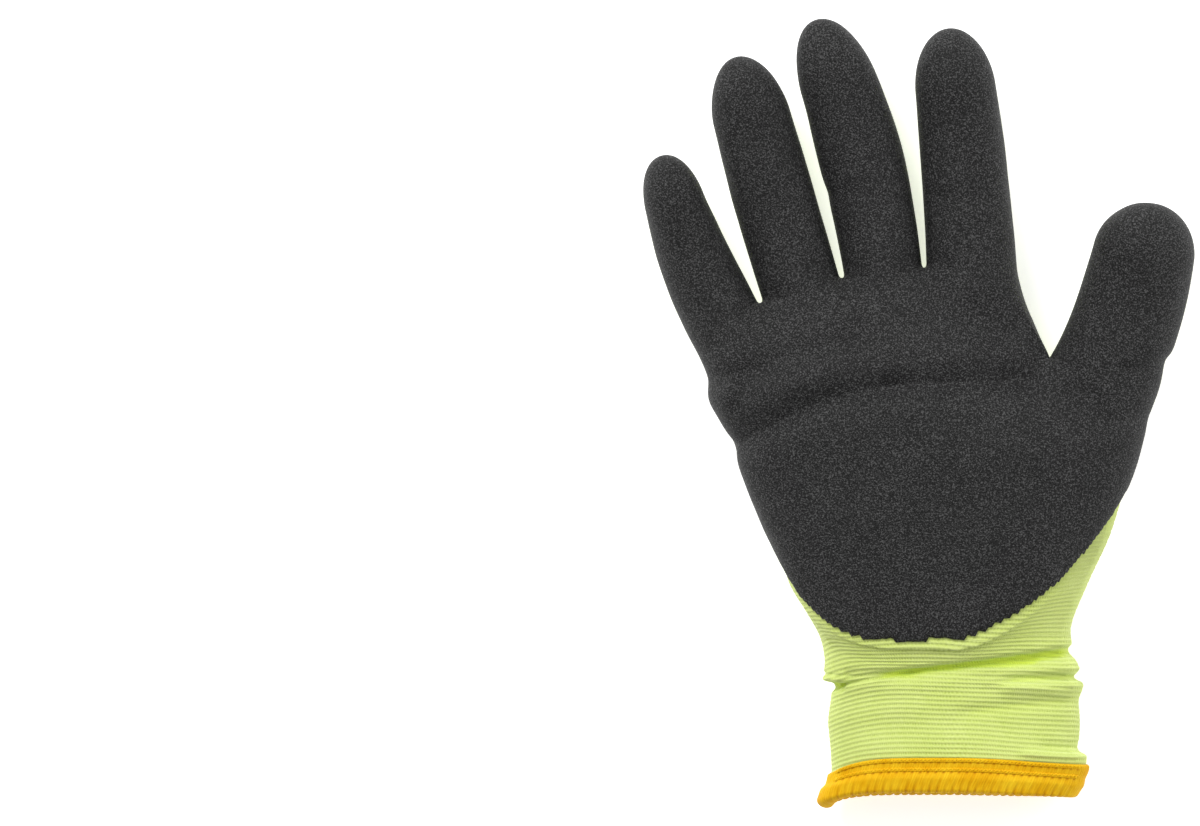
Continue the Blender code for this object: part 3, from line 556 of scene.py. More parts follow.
# %% [markdown]
# The pieces of the surface are grids of points: the body, the two forks and the five digits. A patchwork
# keeps them with the wale and course of each point, and sews them by making equal points one. Each grid can
# leave faces out, and that is how the coating gets its edge.


# %% Sew grids into one surface
def triangulate(points, quads):
    """Split each quad along its shorter diagonal. Returns corners of triangles as places in each quad."""
    corner = points[quads]
    first = np.linalg.norm(corner[:, 0] - corner[:, 2], axis=1)
    second = np.linalg.norm(corner[:, 1] - corner[:, 3], axis=1)
    turned = np.where((first > second)[:, None], np.roll(quads, -1, axis=1), quads)
    return np.concatenate([turned[:, [0, 1, 2]], turned[:, [0, 2, 3]]])


def vertex_normals(points, triangles):
    """Unit normals at the points, as the sum of the crossed edges of the triangles round each."""
    first, second, third = (points[triangles[:, corner]] for corner in range(3))
    normal = np.cross(second - first, third - first)
    total = np.stack([
        np.bincount(triangles.ravel(), np.repeat(normal[:, axis], 3), len(points)) for axis in range(3)
    ], axis=1)
    return total / np.maximum(np.linalg.norm(total, axis=1, keepdims=True), TINY)


class Patchwork:
    """Grids of points with a wale and a course at each, which become one surface."""

    def __init__(self):
        self.points, self.stitches, self.quads, self.count = [], [], [], 0

    def add(self, grid, stitches, kept=True):
        """Add rows of closed rings. kept says which faces stay."""
        grid[:, -1] = grid[:, 0]
        rows, columns = grid.shape[:2]
        index = self.count + np.arange(rows * columns).reshape(rows, columns)
        quads = np.stack([index[:-1, :-1], index[:-1, 1:], index[1:, 1:], index[1:, :-1]], axis=-1)
        self.points.append(grid.reshape(-1, 3))
        self.stitches.append(stitches.reshape(-1, 2))
        self.quads.append(quads[np.broadcast_to(kept, quads.shape[:2])])
        self.count += rows * columns

    def sew(self):
        """One surface: points, their stitches, triangles and the stitches at their corners. number is the
        new number of each old point, and first is the first old point of each new number.
        """
        points, stitches = np.concatenate(self.points), np.concatenate(self.stitches)
        _, first, number = np.unique(np.round(points / WELD), axis=0, return_index=True, return_inverse=True)
        number = number.reshape(-1)
        corners = triangulate(points, np.concatenate(self.quads))
        triangles = number[corners]
        whole = (triangles != np.roll(triangles, 1, axis=1)).all(axis=1)
        return SimpleNamespace(
            points=points[first], stitches=stitches[first], triangles=triangles[whole],
            corners=stitches[corners[whole]], number=number, first=first,
        )


# %% Fold the surface
def fold_height(points, folds):
    """How far the folds lift the surface (or sink it, below zero) at each point.

    Across a fold the height is a bell curve, wider on one side of its line than on the other.
    """
    total = np.zeros(len(points))
    for from_x, from_y, to_x, to_y, bow, height, above, below in zip(*vars(folds).values()):
        start = np.array([from_x, from_y]) * PALM_WIDTH
        run = np.array([to_x, to_y]) * PALM_WIDTH - start
        length = np.linalg.norm(run)
        offset = points[:, :2] - start
        along = offset @ run / length**2
        beside = (run[0] * offset[:, 1] - run[1] * offset[:, 0]) / length
        arch = 4 * along * (1 - along)  # 1 at the middle and 0 at both ends
        beside = beside - bow * PALM_WIDTH * arch
        breadth = np.where(beside > 0, above, below) * PALM_WIDTH
        ends = smooth_step(along, -FOLD_FADE, FOLD_FADE) * smooth_step(1 - along, -FOLD_FADE, FOLD_FADE)
        total += height * PALM_WIDTH * np.exp(-((beside / breadth) ** 2)) * ends
    return total


def folded(points, triangles):
    """The points with their folds, the back flat on the table, and the normals there."""
    normals = vertex_normals(points, triangles)
    lift = fold_height(points, FOLDS) + fold_height(points, FINE_FOLDS)
    lift *= smooth_step(normals[:, 2], *FOLD_NORMALS)
    points = points + normals * lift[:, None]
    points[:, 2] = np.maximum(points[:, 2], 0)
    return points, vertex_normals(points, triangles), lift


# %% [markdown]
# One function lays the hand out for any fineness. It is used for the fine outside of the knitting, for its
# coarse inside, and for the coating, each with its own lowest row and its own choice of faces. A course
# number grows with the way walked up each wale. On a digit the numbers soon level out, because there the
# courses run square across.


# %% Lay out the hand above a given row
LEVEL_OUT = 0.022  # length of a digit over which its courses become square to it
FILLET_SHARES = np.array([0.04, 0.16, 0.36, 0.64])  # mesh rows in a crotch, as shares of CROTCH_RADIUS


def stitched(courses):
    """Wale and course of each point of a grid with the given courses."""
    wales = WALES_IN_COLUMN * np.arange(courses.shape[1])
    return np.stack([np.broadcast_to(wales, courses.shape), courses], axis=-1)


def stitched_above(grid, start):
    """Wale and course of each point of a grid whose first row has the given courses."""
    return stitched(start[:, 0] + lengths_up(grid) / COURSE)


def digit_places(digit, spacing):
    """Shares of a digit's length where the mesh has a row: dense at the crotch, even over the tip."""
    fillet = FILLET_SHARES * CROTCH_RADIUS / digit.length
    straight = np.linspace(CROTCH_RADIUS / digit.length, DOME_START, int(DOME_START * digit.length / spacing))
    tip = (1 - DOME_START) * digit.length
    quarter = np.linspace(0, np.pi / 2, int(np.pi / 2 * tip / spacing) + 1)[1:-1]
    return np.concatenate([[0.0], fillet, straight, DOME_START + (1 - DOME_START) * np.sin(quarter), [1.0]])


def lay_out_hand(cut, spacing, ways_of, kept_of=None):
    """The shell from a lowest row up, as a sewn surface.

    ways_of gives, for the body's ring and the length of each of its columns, how far up the columns the
    rows of the body lie. kept_of gives for a ring and each of its rows which faces stay. Without it, all
    do.
    """
    body_ring, hand_ring = ring(cut, len(fingers) + 1, BODY_SIDE), ring(cut, len(fingers), BODY_SIDE)
    finger_ring = ring(cut, 1, DIGIT_SIDE)
    forked, ones = [len(fingers), 1], [1] * len(fingers)
    crotch, knuckle_crotches = hand_points[1:2], knuckle_points[1:-1]
    work = Patchwork()

    def lay(loop, grid, stitches, digit=None, along=None):
        kept = kept_of(loop, stitches[:, :, 1], digit, along) if kept_of else True
        work.add(grid, stitches, kept)

    places, lengths = walk(body_ring)
    ways = ways_of(body_ring, places, lengths)
    body = body_surface(body_ring, places_at(ways, places, lengths))
    stitches = stitched(ways / COURSE)
    lay(body_ring, body, stitches)

    ball = body[-1]
    thumb_root = digit_surface(thumb, finger_ring, [0.0])[0]
    hand, thumb_root = share_sides(cut, [hand_section(hand_ring), thumb_root], forked)
    roots = share_sides(cut, [digit_surface(one, finger_ring, [0.0])[0] for one in fingers], ones)
    fork = merged(cut, [hand, thumb_root], forked)
    knuckles = merged(cut, roots, ones)

    hand_ball, thumb_ball = split(cut, ball, forked)
    hand_way = knuckles - hand_ball
    through = merged(cut, [hand_way, heading(thumb, thumb_ball)], forked)
    start_way = ball - body_surface(body_ring, np.array([LAST_SECTION - SLOPE_STEP]))[0]
    grid = bridge(ball, scaled(start_way, fork - ball), fork, through, body_ring, crotch, spacing)
    stitches = stitched_above(grid, stitches[-1][:, 1:])
    lay(body_ring, grid, stitches)

    hand_courses, thumb_courses = split(cut, stitches[-1][:, 1:], forked)
    near = near_crotch(hand, crotch)
    rise = knuckles - hand
    start_way = scaled(hand_way, rise) * (1 - near) + rise * near
    ahead = merged(cut, [heading(one, root) for one, root in zip(fingers, roots)], ones)
    grid = bridge(hand, start_way, knuckles, ahead, hand_ring, knuckle_crotches, spacing)
    stitches = stitched_above(grid, hand_courses)
    lay(hand_ring, grid, stitches)

    finger_courses = split(cut, stitches[-1][:, 1:], ones)
    starts = zip(all_digits, [*roots, thumb_root], [*finger_courses, thumb_courses])
    for digit, root, courses in starts:
        along = digit_places(digit, spacing)
        grid = digit_surface(digit, finger_ring, along)
        grid[0] = root
        level = courses.mean()
        travel = along[:, None] * digit.length
        leaning = (courses[:, 0] - level) * (1 - smooth_step(travel, 0, LEVEL_OUT))
        lay(finger_ring, grid, stitched(level + leaning + travel / COURSE), digit, along)
    sewn = work.sew()
    sewn.first_row = sewn.number[: body.shape[1]]
    return sewn


# %% [markdown]
# The knitted shell is made in two pieces that meet on the crest of a course. The cuff is the one that the
# camera sees, so it gets about three mesh columns to a wale and its stitches are real: each course is a
# round ridge, and in the valleys small loops link one course to the next. The mesh of the hand is too
# coarse for single stitches. It has the same courses in lower relief, and the stitches are finished in the
# material.


# %% Relief of the knitting
CUFF_RELIEF = 0.00019  # depth of the valleys between the cuff's courses
HAND_RELIEF = 0.00018
LINK_SHARE = 0.55  # how far the loops fill a valley
RELIEF_FADE = (CUFF_COURSES - 2, CUFF_COURSES + 12)  # courses over which the cuff's relief becomes the hand's
CALM = (CUFF_COURSES - 10, CUFF_COURSES - 5)  # courses over which the cuff's unevenness dies out
COURSE_WANDER = 0.28  # how far a course wanders, as a share of its height
CUFF_LUMPS = 0.00030  # height of the cuff's gentle lumps
VALLEY_SHARPNESS = 1.2
UNEVEN_DEPTH = 0.6  # how far the depth of the cuff's valleys varies, as a share of it
WANDER_WAVES, DEPTH_WAVES, LUMP_WAVES = (0.030, 11), (0.022, 7), (0.016, 5)  # length and random seed


def waves(points, scale, seed, count=10):
    """A gentle lumpiness from -1 to 1: the mean of sine waves in random directions, scale metres long."""
    random = np.random.default_rng(seed)
    way = random.normal(size=(count, 3))
    length = np.linalg.norm(way, axis=1, keepdims=True)
    way *= (2 * np.pi / scale) * random.uniform(0.7, 1.4, (count, 1)) / length
    return np.sin(points @ way.T + random.uniform(0, 2 * np.pi, count)).mean(axis=1) * np.sqrt(2)


def knitted(points, normals, stitches):
    """The points with the relief of the stitches, and the stitches with the wander of their courses.

    A course is a cosine ridge along its number. In the valley between two courses, loops stand up where the
    wale's cosine is high, half a wale further on in every second valley. The cuff is uneven, as elastic
    makes it: its courses wander, its lumps lift it and its relief is deeper in some places than in others.
    """
    wale, course = stitches.T
    uneven = 1 - smooth_step(course, *CALM)
    course = course + COURSE_WANDER * uneven * waves(points, *WANDER_WAVES)
    valley = (0.5 - 0.5 * np.cos(2 * np.pi * course)) ** VALLEY_SHARPNESS
    loops = 0.5 + 0.5 * np.cos(2 * np.pi * (wale + 0.5 * np.floor(course)))
    depth = CUFF_RELIEF + (HAND_RELIEF - CUFF_RELIEF) * smooth_step(course, *RELIEF_FADE)
    depth *= 1 + UNEVEN_DEPTH * uneven * waves(points, *DEPTH_WAVES)
    lift = CUFF_LUMPS * uneven * waves(points, *LUMP_WAVES) - depth * valley * (1 - LINK_SHARE * loops)
    return points + normals * lift[:, None], np.column_stack([wale, course])


# %% Make a mesh
def make_piece(name, points, triangles, corners, material, shade=None):
    """An object with a UV map of stitches. A shade, where given, says how far each point takes its material's
    painted light or shade for folds and grooves: bounce light on the knit, shade on the thread.
    """
    mesh = bpy.data.meshes.new(name)
    mesh.from_pydata(points, [], triangles)
    mesh.shade_smooth()
    layer = mesh.uv_layers.new(name="stitches")
    layer.data.foreach_set("uv", np.ascontiguousarray(corners, np.float32).ravel())
    if shade is not None:
        mesh.attributes.new("shade", "FLOAT", "POINT").data.foreach_set("value", shade.astype(np.float32))
    mesh.materials.append(material)
    piece = bpy.data.objects.new(name, mesh)
    bpy.context.collection.objects.link(piece)
    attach(piece, "root")
    print(name, len(triangles), "triangles")
    return piece


# %% [markdown]
# Materials come before the meshes that wear them. A short helper puts a node in a tree and wires it, so a
# material reads like a recipe. The knitting's recipe follows its own UV map, whose first number counts
# wales and whose second counts courses: a valley between ridges on the cuff, and on the hand the little V
# of each plain stitch, both darkened with painted shade. A fine noise over it is the fuzz of the yarn.


# %% Helpers for materials
def new_material(name):
    """A material with an empty shader to wire up. Returns the material, its tree and its shader."""
    material = bpy.data.materials.new(name)
    material.use_nodes = True
    tree = material.node_tree
    return material, tree, tree.nodes["Principled BSDF"]


def put(tree, kind, wires=None, **settings):
    """Add a node, set its settings, and wire or set its inputs by name or number."""
    node = tree.nodes.new(kind)
    for name, value in settings.items():
        setattr(node, name, value)
    for name, value in (wires or {}).items():
        if isinstance(value, bpy.types.NodeSocket):
            tree.links.new(value, node.inputs[name])
        else:
            node.inputs[name].default_value = value
    return node


def reckon(tree, operation, *values):
    """The result of a Math node on up to three values or sockets."""
    return put(tree, "ShaderNodeMath", dict(enumerate(values)), operation=operation).outputs[0]


def wave_of(tree, value):
    """0.5 + 0.5 cos(2 pi value): 1 at whole numbers and 0 half-way between."""
    turned = reckon(tree, "COSINE", reckon(tree, "MULTIPLY", value, 2 * np.pi))
    return reckon(tree, "MULTIPLY_ADD", turned, 0.5, 0.5)


def ramp(tree, value, *stops):
    """Colours at places from 0 to 1."""
    node = put(tree, "ShaderNodeValToRGB", {0: value})
    elements = node.color_ramp.elements
    while len(elements) < len(stops):
        elements.new(0.5)
    for element, (place, colour) in zip(elements, stops):
        element.position = place
        element.color = (*colour, 1)
    return node.outputs["Color"]


def stitch_numbers(tree):
    """The two numbers of the UV map of stitches."""
    uv = put(tree, "ShaderNodeUVMap", uv_map="stitches").outputs[0]
    return put(tree, "ShaderNodeSeparateXYZ", {0: uv}).outputs[:2]


def shaded(tree, colour, painted_colour):
    """A colour that turns to a painted light or shade colour as far as the shade of the point says."""
    shade = put(tree, "ShaderNodeAttribute", attribute_name="shade").outputs["Fac"]
    wires = {0: shade, 6: colour, 7: (*painted_colour, 1)}
    return put(tree, "ShaderNodeMix", wires, data_type="RGBA").outputs[2]


def noise(tree, coordinates, scale, detail=3.0, roughness=0.6):
    """Smooth random values round 0.5, in cells of 1 / scale metres."""
    wires = {"Vector": coordinates, "Scale": scale, "Detail": detail, "Roughness": roughness}
    return put(tree, "ShaderNodeTexNoise", wires).outputs["Fac"]


# %% The knitting's material
KNIT_LIGHT = (0.62, 0.71, 0.235)
KNIT_MIDDLE = (0.51, 0.61, 0.14)
KNIT_DEEP = (0.27, 0.375, 0.018)
KNIT_BOUNCE_LIGHT = (0.61, 0.76, 0.06)  # painted bounce light: yarn in a fold, lit by the yarn that faces it
PLAIN_FROM, PLAIN_WHOLE = CUFF_COURSES + 6, CUFF_COURSES + 22  # courses over which plain stitches take over
LEG_SLANT = 0.55  # courses that a leg of the V climbs across half a wale
FUZZ_SCALE, CLOUD_SCALE = 1700, 60  # cells to a metre
FUZZ_SHARE, RELIEF_SHADE_SHARE, CLOUD_SHARE, TONE_OFFSET = 0.95, 0.28, 0.5, -0.33  # of the yarn's tone; the relief share darkens valleys and grooves as painted shade


def make_knit():
    """The knitting: its height is that of the loops on the cuff, and on the hand that of the V of a plain
    stitch, two legs with a groove between two wales. Its tone is a sum of fuzz, height and clouds, so the
    height paints shade into valleys and grooves, and creases get painted bounce light.
    """
    material, tree, shader = new_material("knit_yarn")
    wale, course = stitch_numbers(tree)
    place = put(tree, "ShaderNodeTexCoord").outputs["Object"]

    half = reckon(tree, "MULTIPLY", reckon(tree, "FLOOR", course), 0.5)
    loops = wave_of(tree, reckon(tree, "ADD", wale, half))
    open_share = reckon(tree, "MULTIPLY_ADD", loops, -LINK_SHARE, 1.0)
    valley = reckon(tree, "SUBTRACT", 1.0, wave_of(tree, course))
    ridges = reckon(tree, "SUBTRACT", 1.0, reckon(tree, "MULTIPLY", valley, open_share))

    across = reckon(tree, "MULTIPLY", reckon(tree, "PINGPONG", wale, 0.5), 2.0)
    legs = wave_of(tree, reckon(tree, "MULTIPLY_ADD", across, -LEG_SLANT, course))
    groove = reckon(tree, "SINE", reckon(tree, "MULTIPLY", across, np.pi))
    groove = reckon(tree, "POWER", reckon(tree, "MAXIMUM", groove, 0.0), 0.5)
    plain = reckon(tree, "MULTIPLY", reckon(tree, "MULTIPLY_ADD", legs, 0.6, 0.4), groove)

    share = put(
        tree, "ShaderNodeMapRange", {"Value": course, "From Min": PLAIN_FROM, "From Max": PLAIN_WHOLE},
        interpolation_type="SMOOTHSTEP",
    ).outputs[0]
    height = put(tree, "ShaderNodeMix", {0: share, 2: ridges, 3: plain}, data_type="FLOAT").outputs[0]

    fuzz = noise(tree, place, FUZZ_SCALE, 4.0, 0.7)
    cloud = noise(tree, place, CLOUD_SCALE, 2.0)
    # The height darkens the valleys and grooves: painted shade
    tone = reckon(tree, "MULTIPLY_ADD", fuzz, FUZZ_SHARE, reckon(tree, "MULTIPLY", height, RELIEF_SHADE_SHARE))
    clouds = reckon(tree, "MULTIPLY_ADD", cloud, CLOUD_SHARE, TONE_OFFSET)
    tone = reckon(tree, "ADD", tone, clouds)
    colour = ramp(tree, tone, (0.0, KNIT_DEEP), (0.40, KNIT_MIDDLE), (0.85, KNIT_LIGHT))
    # Painted bounce light in the creases, mixed in by the shade attribute
    tree.links.new(shaded(tree, colour, KNIT_BOUNCE_LIGHT), shader.inputs["Base Color"])

    relief = reckon(tree, "MULTIPLY_ADD", fuzz, 0.35, height)
    bump = put(tree, "ShaderNodeBump", {"Height": relief, "Strength": 0.75, "Distance": 0.0003})
    tree.links.new(bump.outputs[0], shader.inputs["Normal"])
    shader.inputs["Roughness"].default_value = 0.92
    shader.inputs["Specular IOR Level"].default_value = 0.2
    shader.inputs["Sheen Weight"].default_value = 0.35
    shader.inputs["Sheen Roughness"].default_value = 0.6
    shader.inputs["Sheen Tint"].default_value = (0.95, 1.0, 0.75, 1)
    return material


knit_yarn = make_knit()
print("made", knit_yarn.name)

# %% Knit the cuff
CUFF_CUT = SimpleNamespace(front=68, back=30, side=36)
HAND_CUT = SimpleNamespace(front=15, back=15, side=9)
CUFF_INSIDE_ROWS = 32
CUFF_SPAN = CUFF_COURSES * COURSE
BOUNCE_DEPTHS = (0.0006, 0.0022)  # depths of a crease at which its painted bounce light begins and is strongest
BOUNCE_SHARE = 0.9


def wales_round(cut, digits):
    """Wale of each column of a ring: the same at the same place, however many columns a wale has."""
    columns = np.cumsum([0, HAND_CUT.side, HAND_CUT.front * digits, HAND_CUT.side, HAND_CUT.back * digits])
    wales = WALES_IN_COLUMN * columns
    counts = [cut.side, cut.front * digits, cut.side, cut.back * digits]
    spans = zip(wales, wales[1:], counts)
    runs = [np.linspace(low, high, count, endpoint=False) for low, high, count in spans]
    return np.concatenate([*runs, wales[-1:]])


def bounce_light_of(lift):
    """How much painted bounce light a crease puts on its yarn: none on a ridge, and most where it is deep."""
    return BOUNCE_SHARE * smooth_step(-lift, *BOUNCE_DEPTHS)


def cuff_grid(cut, rows):
    """The cuff's bare surface with evenly spaced rows, and its wales and courses."""
    loop = ring(cut, len(fingers) + 1, BODY_SIDE)
    places, lengths = walk(loop)
    ways = np.broadcast_to(np.linspace(0, CUFF_SPAN, rows + 1)[:, None], (rows + 1, len(loop.angle)))
    grid = body_surface(loop, places_at(ways, places, lengths))
    wales = np.broadcast_to(wales_round(cut, len(fingers) + 1), ways.shape)
    return grid, np.stack([wales, ways / COURSE], axis=-1)


def sewn_grid(grid, stitches):
    """One grid of closed rings as a sewn surface."""
    work = Patchwork()
    work.add(grid.copy(), stitches)
    return work.sew()


def folded_grid(grid):
    """A grid of closed rings with its folds, and the normals there."""
    flat = sewn_grid(grid, np.zeros((*grid.shape[:2], 2)))
    points, normals, _ = folded(flat.points, flat.triangles)
    return [values[flat.number].reshape(grid.shape) for values in (points, normals)]


def knit_cuff():
    """The cuff as a closed wall: up the outside, over at the top, down the inside and back at the mouth."""
    outside, stitches = cuff_grid(CUFF_CUT, CUFF_COURSES * ROWS_IN_COURSE)
    outer = sewn_grid(outside, stitches)
    points, normals, lift = folded(outer.points, outer.triangles)
    points, wandered = knitted(points, normals, outer.stitches)
    outside = points[outer.number].reshape(outside.shape)
    stitches[:, :, 1] = wandered[outer.number, 1].reshape(stitches.shape[:2])

    inside, inner_stitches = cuff_grid(CUFF_CUT, CUFF_INSIDE_ROWS)
    points, normals = folded_grid(inside)
    inside = points - normals * SHELL_WALL

    work = Patchwork()
    grid = np.concatenate([outside, inside[::-1], outside[:1]])
    work.add(grid, np.concatenate([stitches, inner_stitches[::-1], stitches[:1]]))
    wall = work.sew()
    # Painted bounce light in the outside's creases; the inside gets none
    shade = np.zeros(work.count)
    shade[: outside.shape[0] * outside.shape[1]] = bounce_light_of(lift)[outer.number]
    shade = shade[wall.first]
    return make_piece("knit_cuff", wall.points, wall.triangles, wall.corners, knit_yarn, shade)


knit_cuff()

# %% Knit the hand
INSIDE_SPACING = 0.006
HAND_SPACING = 0.00050


def rim_between(first, second, under_first, under_second):
    """Two triangles for each edge from first to second, down to the edge under it."""
    upper = np.column_stack([second, first, under_first])
    return np.concatenate([upper, np.column_stack([second, under_first, under_second])])


def rows_above_cuff(spacing):
    """Rows from the cuff's top to the ball of the thumb, evenly spaced on each column."""

    def ways_of(loop, places, lengths):
        top = lengths[-1]
        count = int((top.max() - CUFF_SPAN) / spacing) + 1
        return CUFF_SPAN + np.linspace(0, 1, count + 1)[:, None] * (top - CUFF_SPAN)

    return ways_of


def knit_hand():
    """The hand as a closed wall: a fine outside, a coarse inside, and a rim along the cuff's top."""
    outer = lay_out_hand(HAND_CUT, HAND_SPACING, rows_above_cuff(HAND_SPACING))
    inner = lay_out_hand(HAND_CUT, INSIDE_SPACING, rows_above_cuff(INSIDE_SPACING))
    outside, normals, lift = folded(outer.points, outer.triangles)
    outside, _ = knitted(outside, normals, outer.stitches)
    inside, normals, _ = folded(inner.points, inner.triangles)
    inside -= normals * SHELL_WALL

    below = len(outside)
    top, under = outer.first_row, inner.first_row + below
    rim = rim_between(top[:-1], top[1:], under[:-1], under[1:])
    triangles = np.concatenate([outer.triangles, inner.triangles[:, ::-1] + below, rim])
    stitches = np.concatenate([outer.stitches, inner.stitches])
    corners = np.concatenate([outer.corners, inner.corners[:, ::-1], stitches[rim]])
    # Painted bounce light in the creases of the outside only
    shade = np.concatenate([bounce_light_of(lift), np.zeros(len(inside))])
    points = np.concatenate([outside, inside])
    return make_piece("knit_hand", points, triangles, corners, knit_yarn, shade)


hand = knit_hand()
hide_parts("knit_shell")

# %% [markdown]
# The palm of the glove is dipped in liquid nitrile and then dusted, so it dries as a matt charcoal skin
# with a sandy grain. The dip creeps along the courses, and so its lower edge is ragged: it climbs in small
# steps of one course. The skin is thick in the middle and thins out to its edge.


# %% The coating's material
GRAIN_SCALE, PATCH_SCALE = 1900, 45  # cells to a metre
GRAIN_CONTRAST, PATCH_CONTRAST, SANDY_OFFSET = 3.5, 0.16, -1.38
# Places on the scale of tones, and the grey at each
GREYS = ((0.20, 0.002), (0.40, 0.007), (0.52, 0.014), (0.66, 0.030), (0.85, 0.075))


def make_sandy():
    """Dusted nitrile: a fine grain with strong contrast, a little lighter and darker in broad patches."""
    material, tree, shader = new_material("sandy_nitrile")
    place = put(tree, "ShaderNodeTexCoord").outputs["Object"]
    grain = noise(tree, place, GRAIN_SCALE, 2.0, 0.75)
    wires = {"Vector": place, "Scale": GRAIN_SCALE}
    crumbs = put(tree, "ShaderNodeTexVoronoi", wires).outputs["Distance"]
    patches = noise(tree, place, PATCH_SCALE, 2.0)
    broad = reckon(tree, "MULTIPLY_ADD", patches, PATCH_CONTRAST, SANDY_OFFSET)
    tone = reckon(tree, "MULTIPLY_ADD", grain, GRAIN_CONTRAST, broad)
    colour = ramp(tree, tone, *((stop, (grey, grey, grey)) for stop, grey in GREYS))
    tree.links.new(colour, shader.inputs["Base Color"])
    height = reckon(tree, "MULTIPLY_ADD", crumbs, -0.4, grain)
    bump = put(tree, "ShaderNodeBump", {"Height": height, "Strength": 1.0, "Distance": 0.0004})
    tree.links.new(bump.outputs[0], shader.inputs["Normal"])
    rough = reckon(tree, "MULTIPLY_ADD", patches, -0.1, 0.66)
    tree.links.new(rough, shader.inputs["Roughness"])
    shader.inputs["Specular IOR Level"].default_value = 0.26
    return material


sandy_nitrile = make_sandy()
print("made", sandy_nitrile.name)

# %% Choose what the dip covers
COATING_CUT = SimpleNamespace(front=28, back=16, side=14)
COATING_SPACING = 0.00096
EDGE_WANDER = 0.0003  # how far the lower edge wanders from the dip line before it is set to a course
EDGE_WAVES = ((11, 0.0), (23, 1.3))  # waves round the ring, and where each begins
EDGE_SERRATION = 0.00022  # how far single stitches pull the edge up or down
EDGE_RAISE = 0.0020  # how much higher the edge lies a little to the right of its middle
RAISE_PLACE, RAISE_REACH = 0.25, 0.30  # where that is and how far it reaches, as cosines of the angle
SIDE_WANDER = 0.10  # how far the edge beside a digit wanders, as a share of the side's turn
SIDE_WAVES = ((0.55, 0.0, 2.0), (1.07, 1.9, 1.0))  # turn with each course, start, and more at the left
TIP_WANDER = 0.02  # how far the edge round a fingertip wanders, as a share of the digit's length
EDGE_LENGTH = 0.0045  # length over which the skin thickens from its edge
EDGE_WALL = 0.25  # share of the wall that is left at the edge
EDGE_PASSES = 10  # steps along the mesh over which the way from the edge is measured
LUMPS = 0.00012  # height of the skin's gentle lumps
SKIN_WAVES = (0.012, 3)  # length and random seed


def rows_above_dip(loop, places, lengths):
    """Rows from the dip's ragged lower edge to the ball of the thumb."""
    edge = np.array([np.interp(COATING_SECTION, places, length) for length in lengths.T])
    wander = sum(np.sin(count * loop.angle + begin) for count, begin in EDGE_WAVES)
    raised = EDGE_RAISE * np.exp(-(((loop.cosine - RAISE_PLACE) / RAISE_REACH) ** 2)) * (loop.sine > 0)
    edge = np.round((edge + EDGE_WANDER * wander / 2 + raised) / COURSE) * COURSE
    edge += EDGE_SERRATION * np.random.default_rng(2).uniform(-1, 1, len(edge))
    edge[-1] = edge[0]
    top = lengths[-1]
    count = int((top - edge).max() / COATING_SPACING) + 1
    return edge + np.linspace(0, 1, count + 1)[:, None] * (top - edge)


def dipped(loop, courses, digit, along):
    """Whether the dip covers each face: the front and the sides, and all of a fingertip."""
    turn = np.append(loop.angle[:-1], loop.angle[0] - 2 * np.pi)
    middle = (turn[:-1] + turn[1:]) / 2
    below = -np.arcsin(np.sin(middle)) / loop.side
    course = courses[:-1, :-1]
    left = np.cos(middle) < 0
    wander = sum(np.sin(course * turning + begin + more * left) for turning, begin, more in SIDE_WAVES)
    covered = below < 1 + SIDE_WANDER * wander
    if digit is not None:
        tip = DOME_START + TIP_WANDER * np.sin(3 * middle + 5 * digit.length / THUMB_LENGTH)
        covered = covered | (along[1:, None] > tip)
    return covered


def way_from_edge(points, triangles, passes):
    """Way along the mesh from each point to the nearest open edge, as far as that many passes reach."""
    edges = np.concatenate([triangles[:, [0, 1]], triangles[:, [1, 2]], triangles[:, [2, 0]]])
    code, back = edges @ [len(points), 1], edges @ [1, len(points)]
    open_edges = edges[~np.isin(code, back)]
    way = np.full(len(points), passes * COATING_SPACING)
    way[open_edges] = 0
    length = np.linalg.norm(points[edges[:, 0]] - points[edges[:, 1]], axis=1)
    for _ in range(passes):
        np.minimum.at(way, edges[:, 1], way[edges[:, 0]] + length)
        np.minimum.at(way, edges[:, 0], way[edges[:, 1]] + length)
    return way, open_edges


# %% Dip the palm
def dip_palm():
    """The coating as a closed skin over the knit, thin at its edge."""
    sheet = lay_out_hand(COATING_CUT, COATING_SPACING, rows_above_dip, dipped)
    whole = lay_out_hand(COATING_CUT, COATING_SPACING, rows_above_dip)
    base, normals, _ = folded(whole.points, whole.triangles)
    used = np.unique(sheet.triangles)
    number = np.full(len(base), -1)
    number[used] = np.arange(len(used))
    faces = number[sheet.triangles]
    base, normals, stitches = base[used], normals[used], sheet.stitches[used]

    way, rim_edges = way_from_edge(base, faces, EDGE_PASSES)
    rounded = quarter_round(way / EDGE_LENGTH)
    wall = COATING_WALL * (EDGE_WALL + (1 - EDGE_WALL) * rounded)
    wall += LUMPS * waves(base, *SKIN_WAVES) * rounded
    over = base + normals * (SEAT_GAP + wall)[:, None]
    under = base + normals * SEAT_GAP
    below = len(base)
    first, second = rim_edges.T
    rim = rim_between(first, second, first + below, second + below)
    triangles = np.concatenate([faces, faces[:, ::-1] + below, rim])
    corners = np.concatenate([sheet.corners, sheet.corners[:, ::-1], np.tile(stitches, (2, 1))[rim]])
    points = np.concatenate([over, under])
    return make_piece("dipped_palm", points, triangles, corners, sandy_nitrile)


palm = dip_palm()
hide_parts("palm_coating")

# %% [markdown]
# The cuff's edge is overlocked: elastic is laid along it and thread is wound round both, so the edge rolls
# up in a rope of small ribs. Above the roll two rows of chain stitch hold the thread down. The roll is a
# profile carried round the mouth, evenly by its length, and the ribs are a wave along that way which leans
# as it goes under.


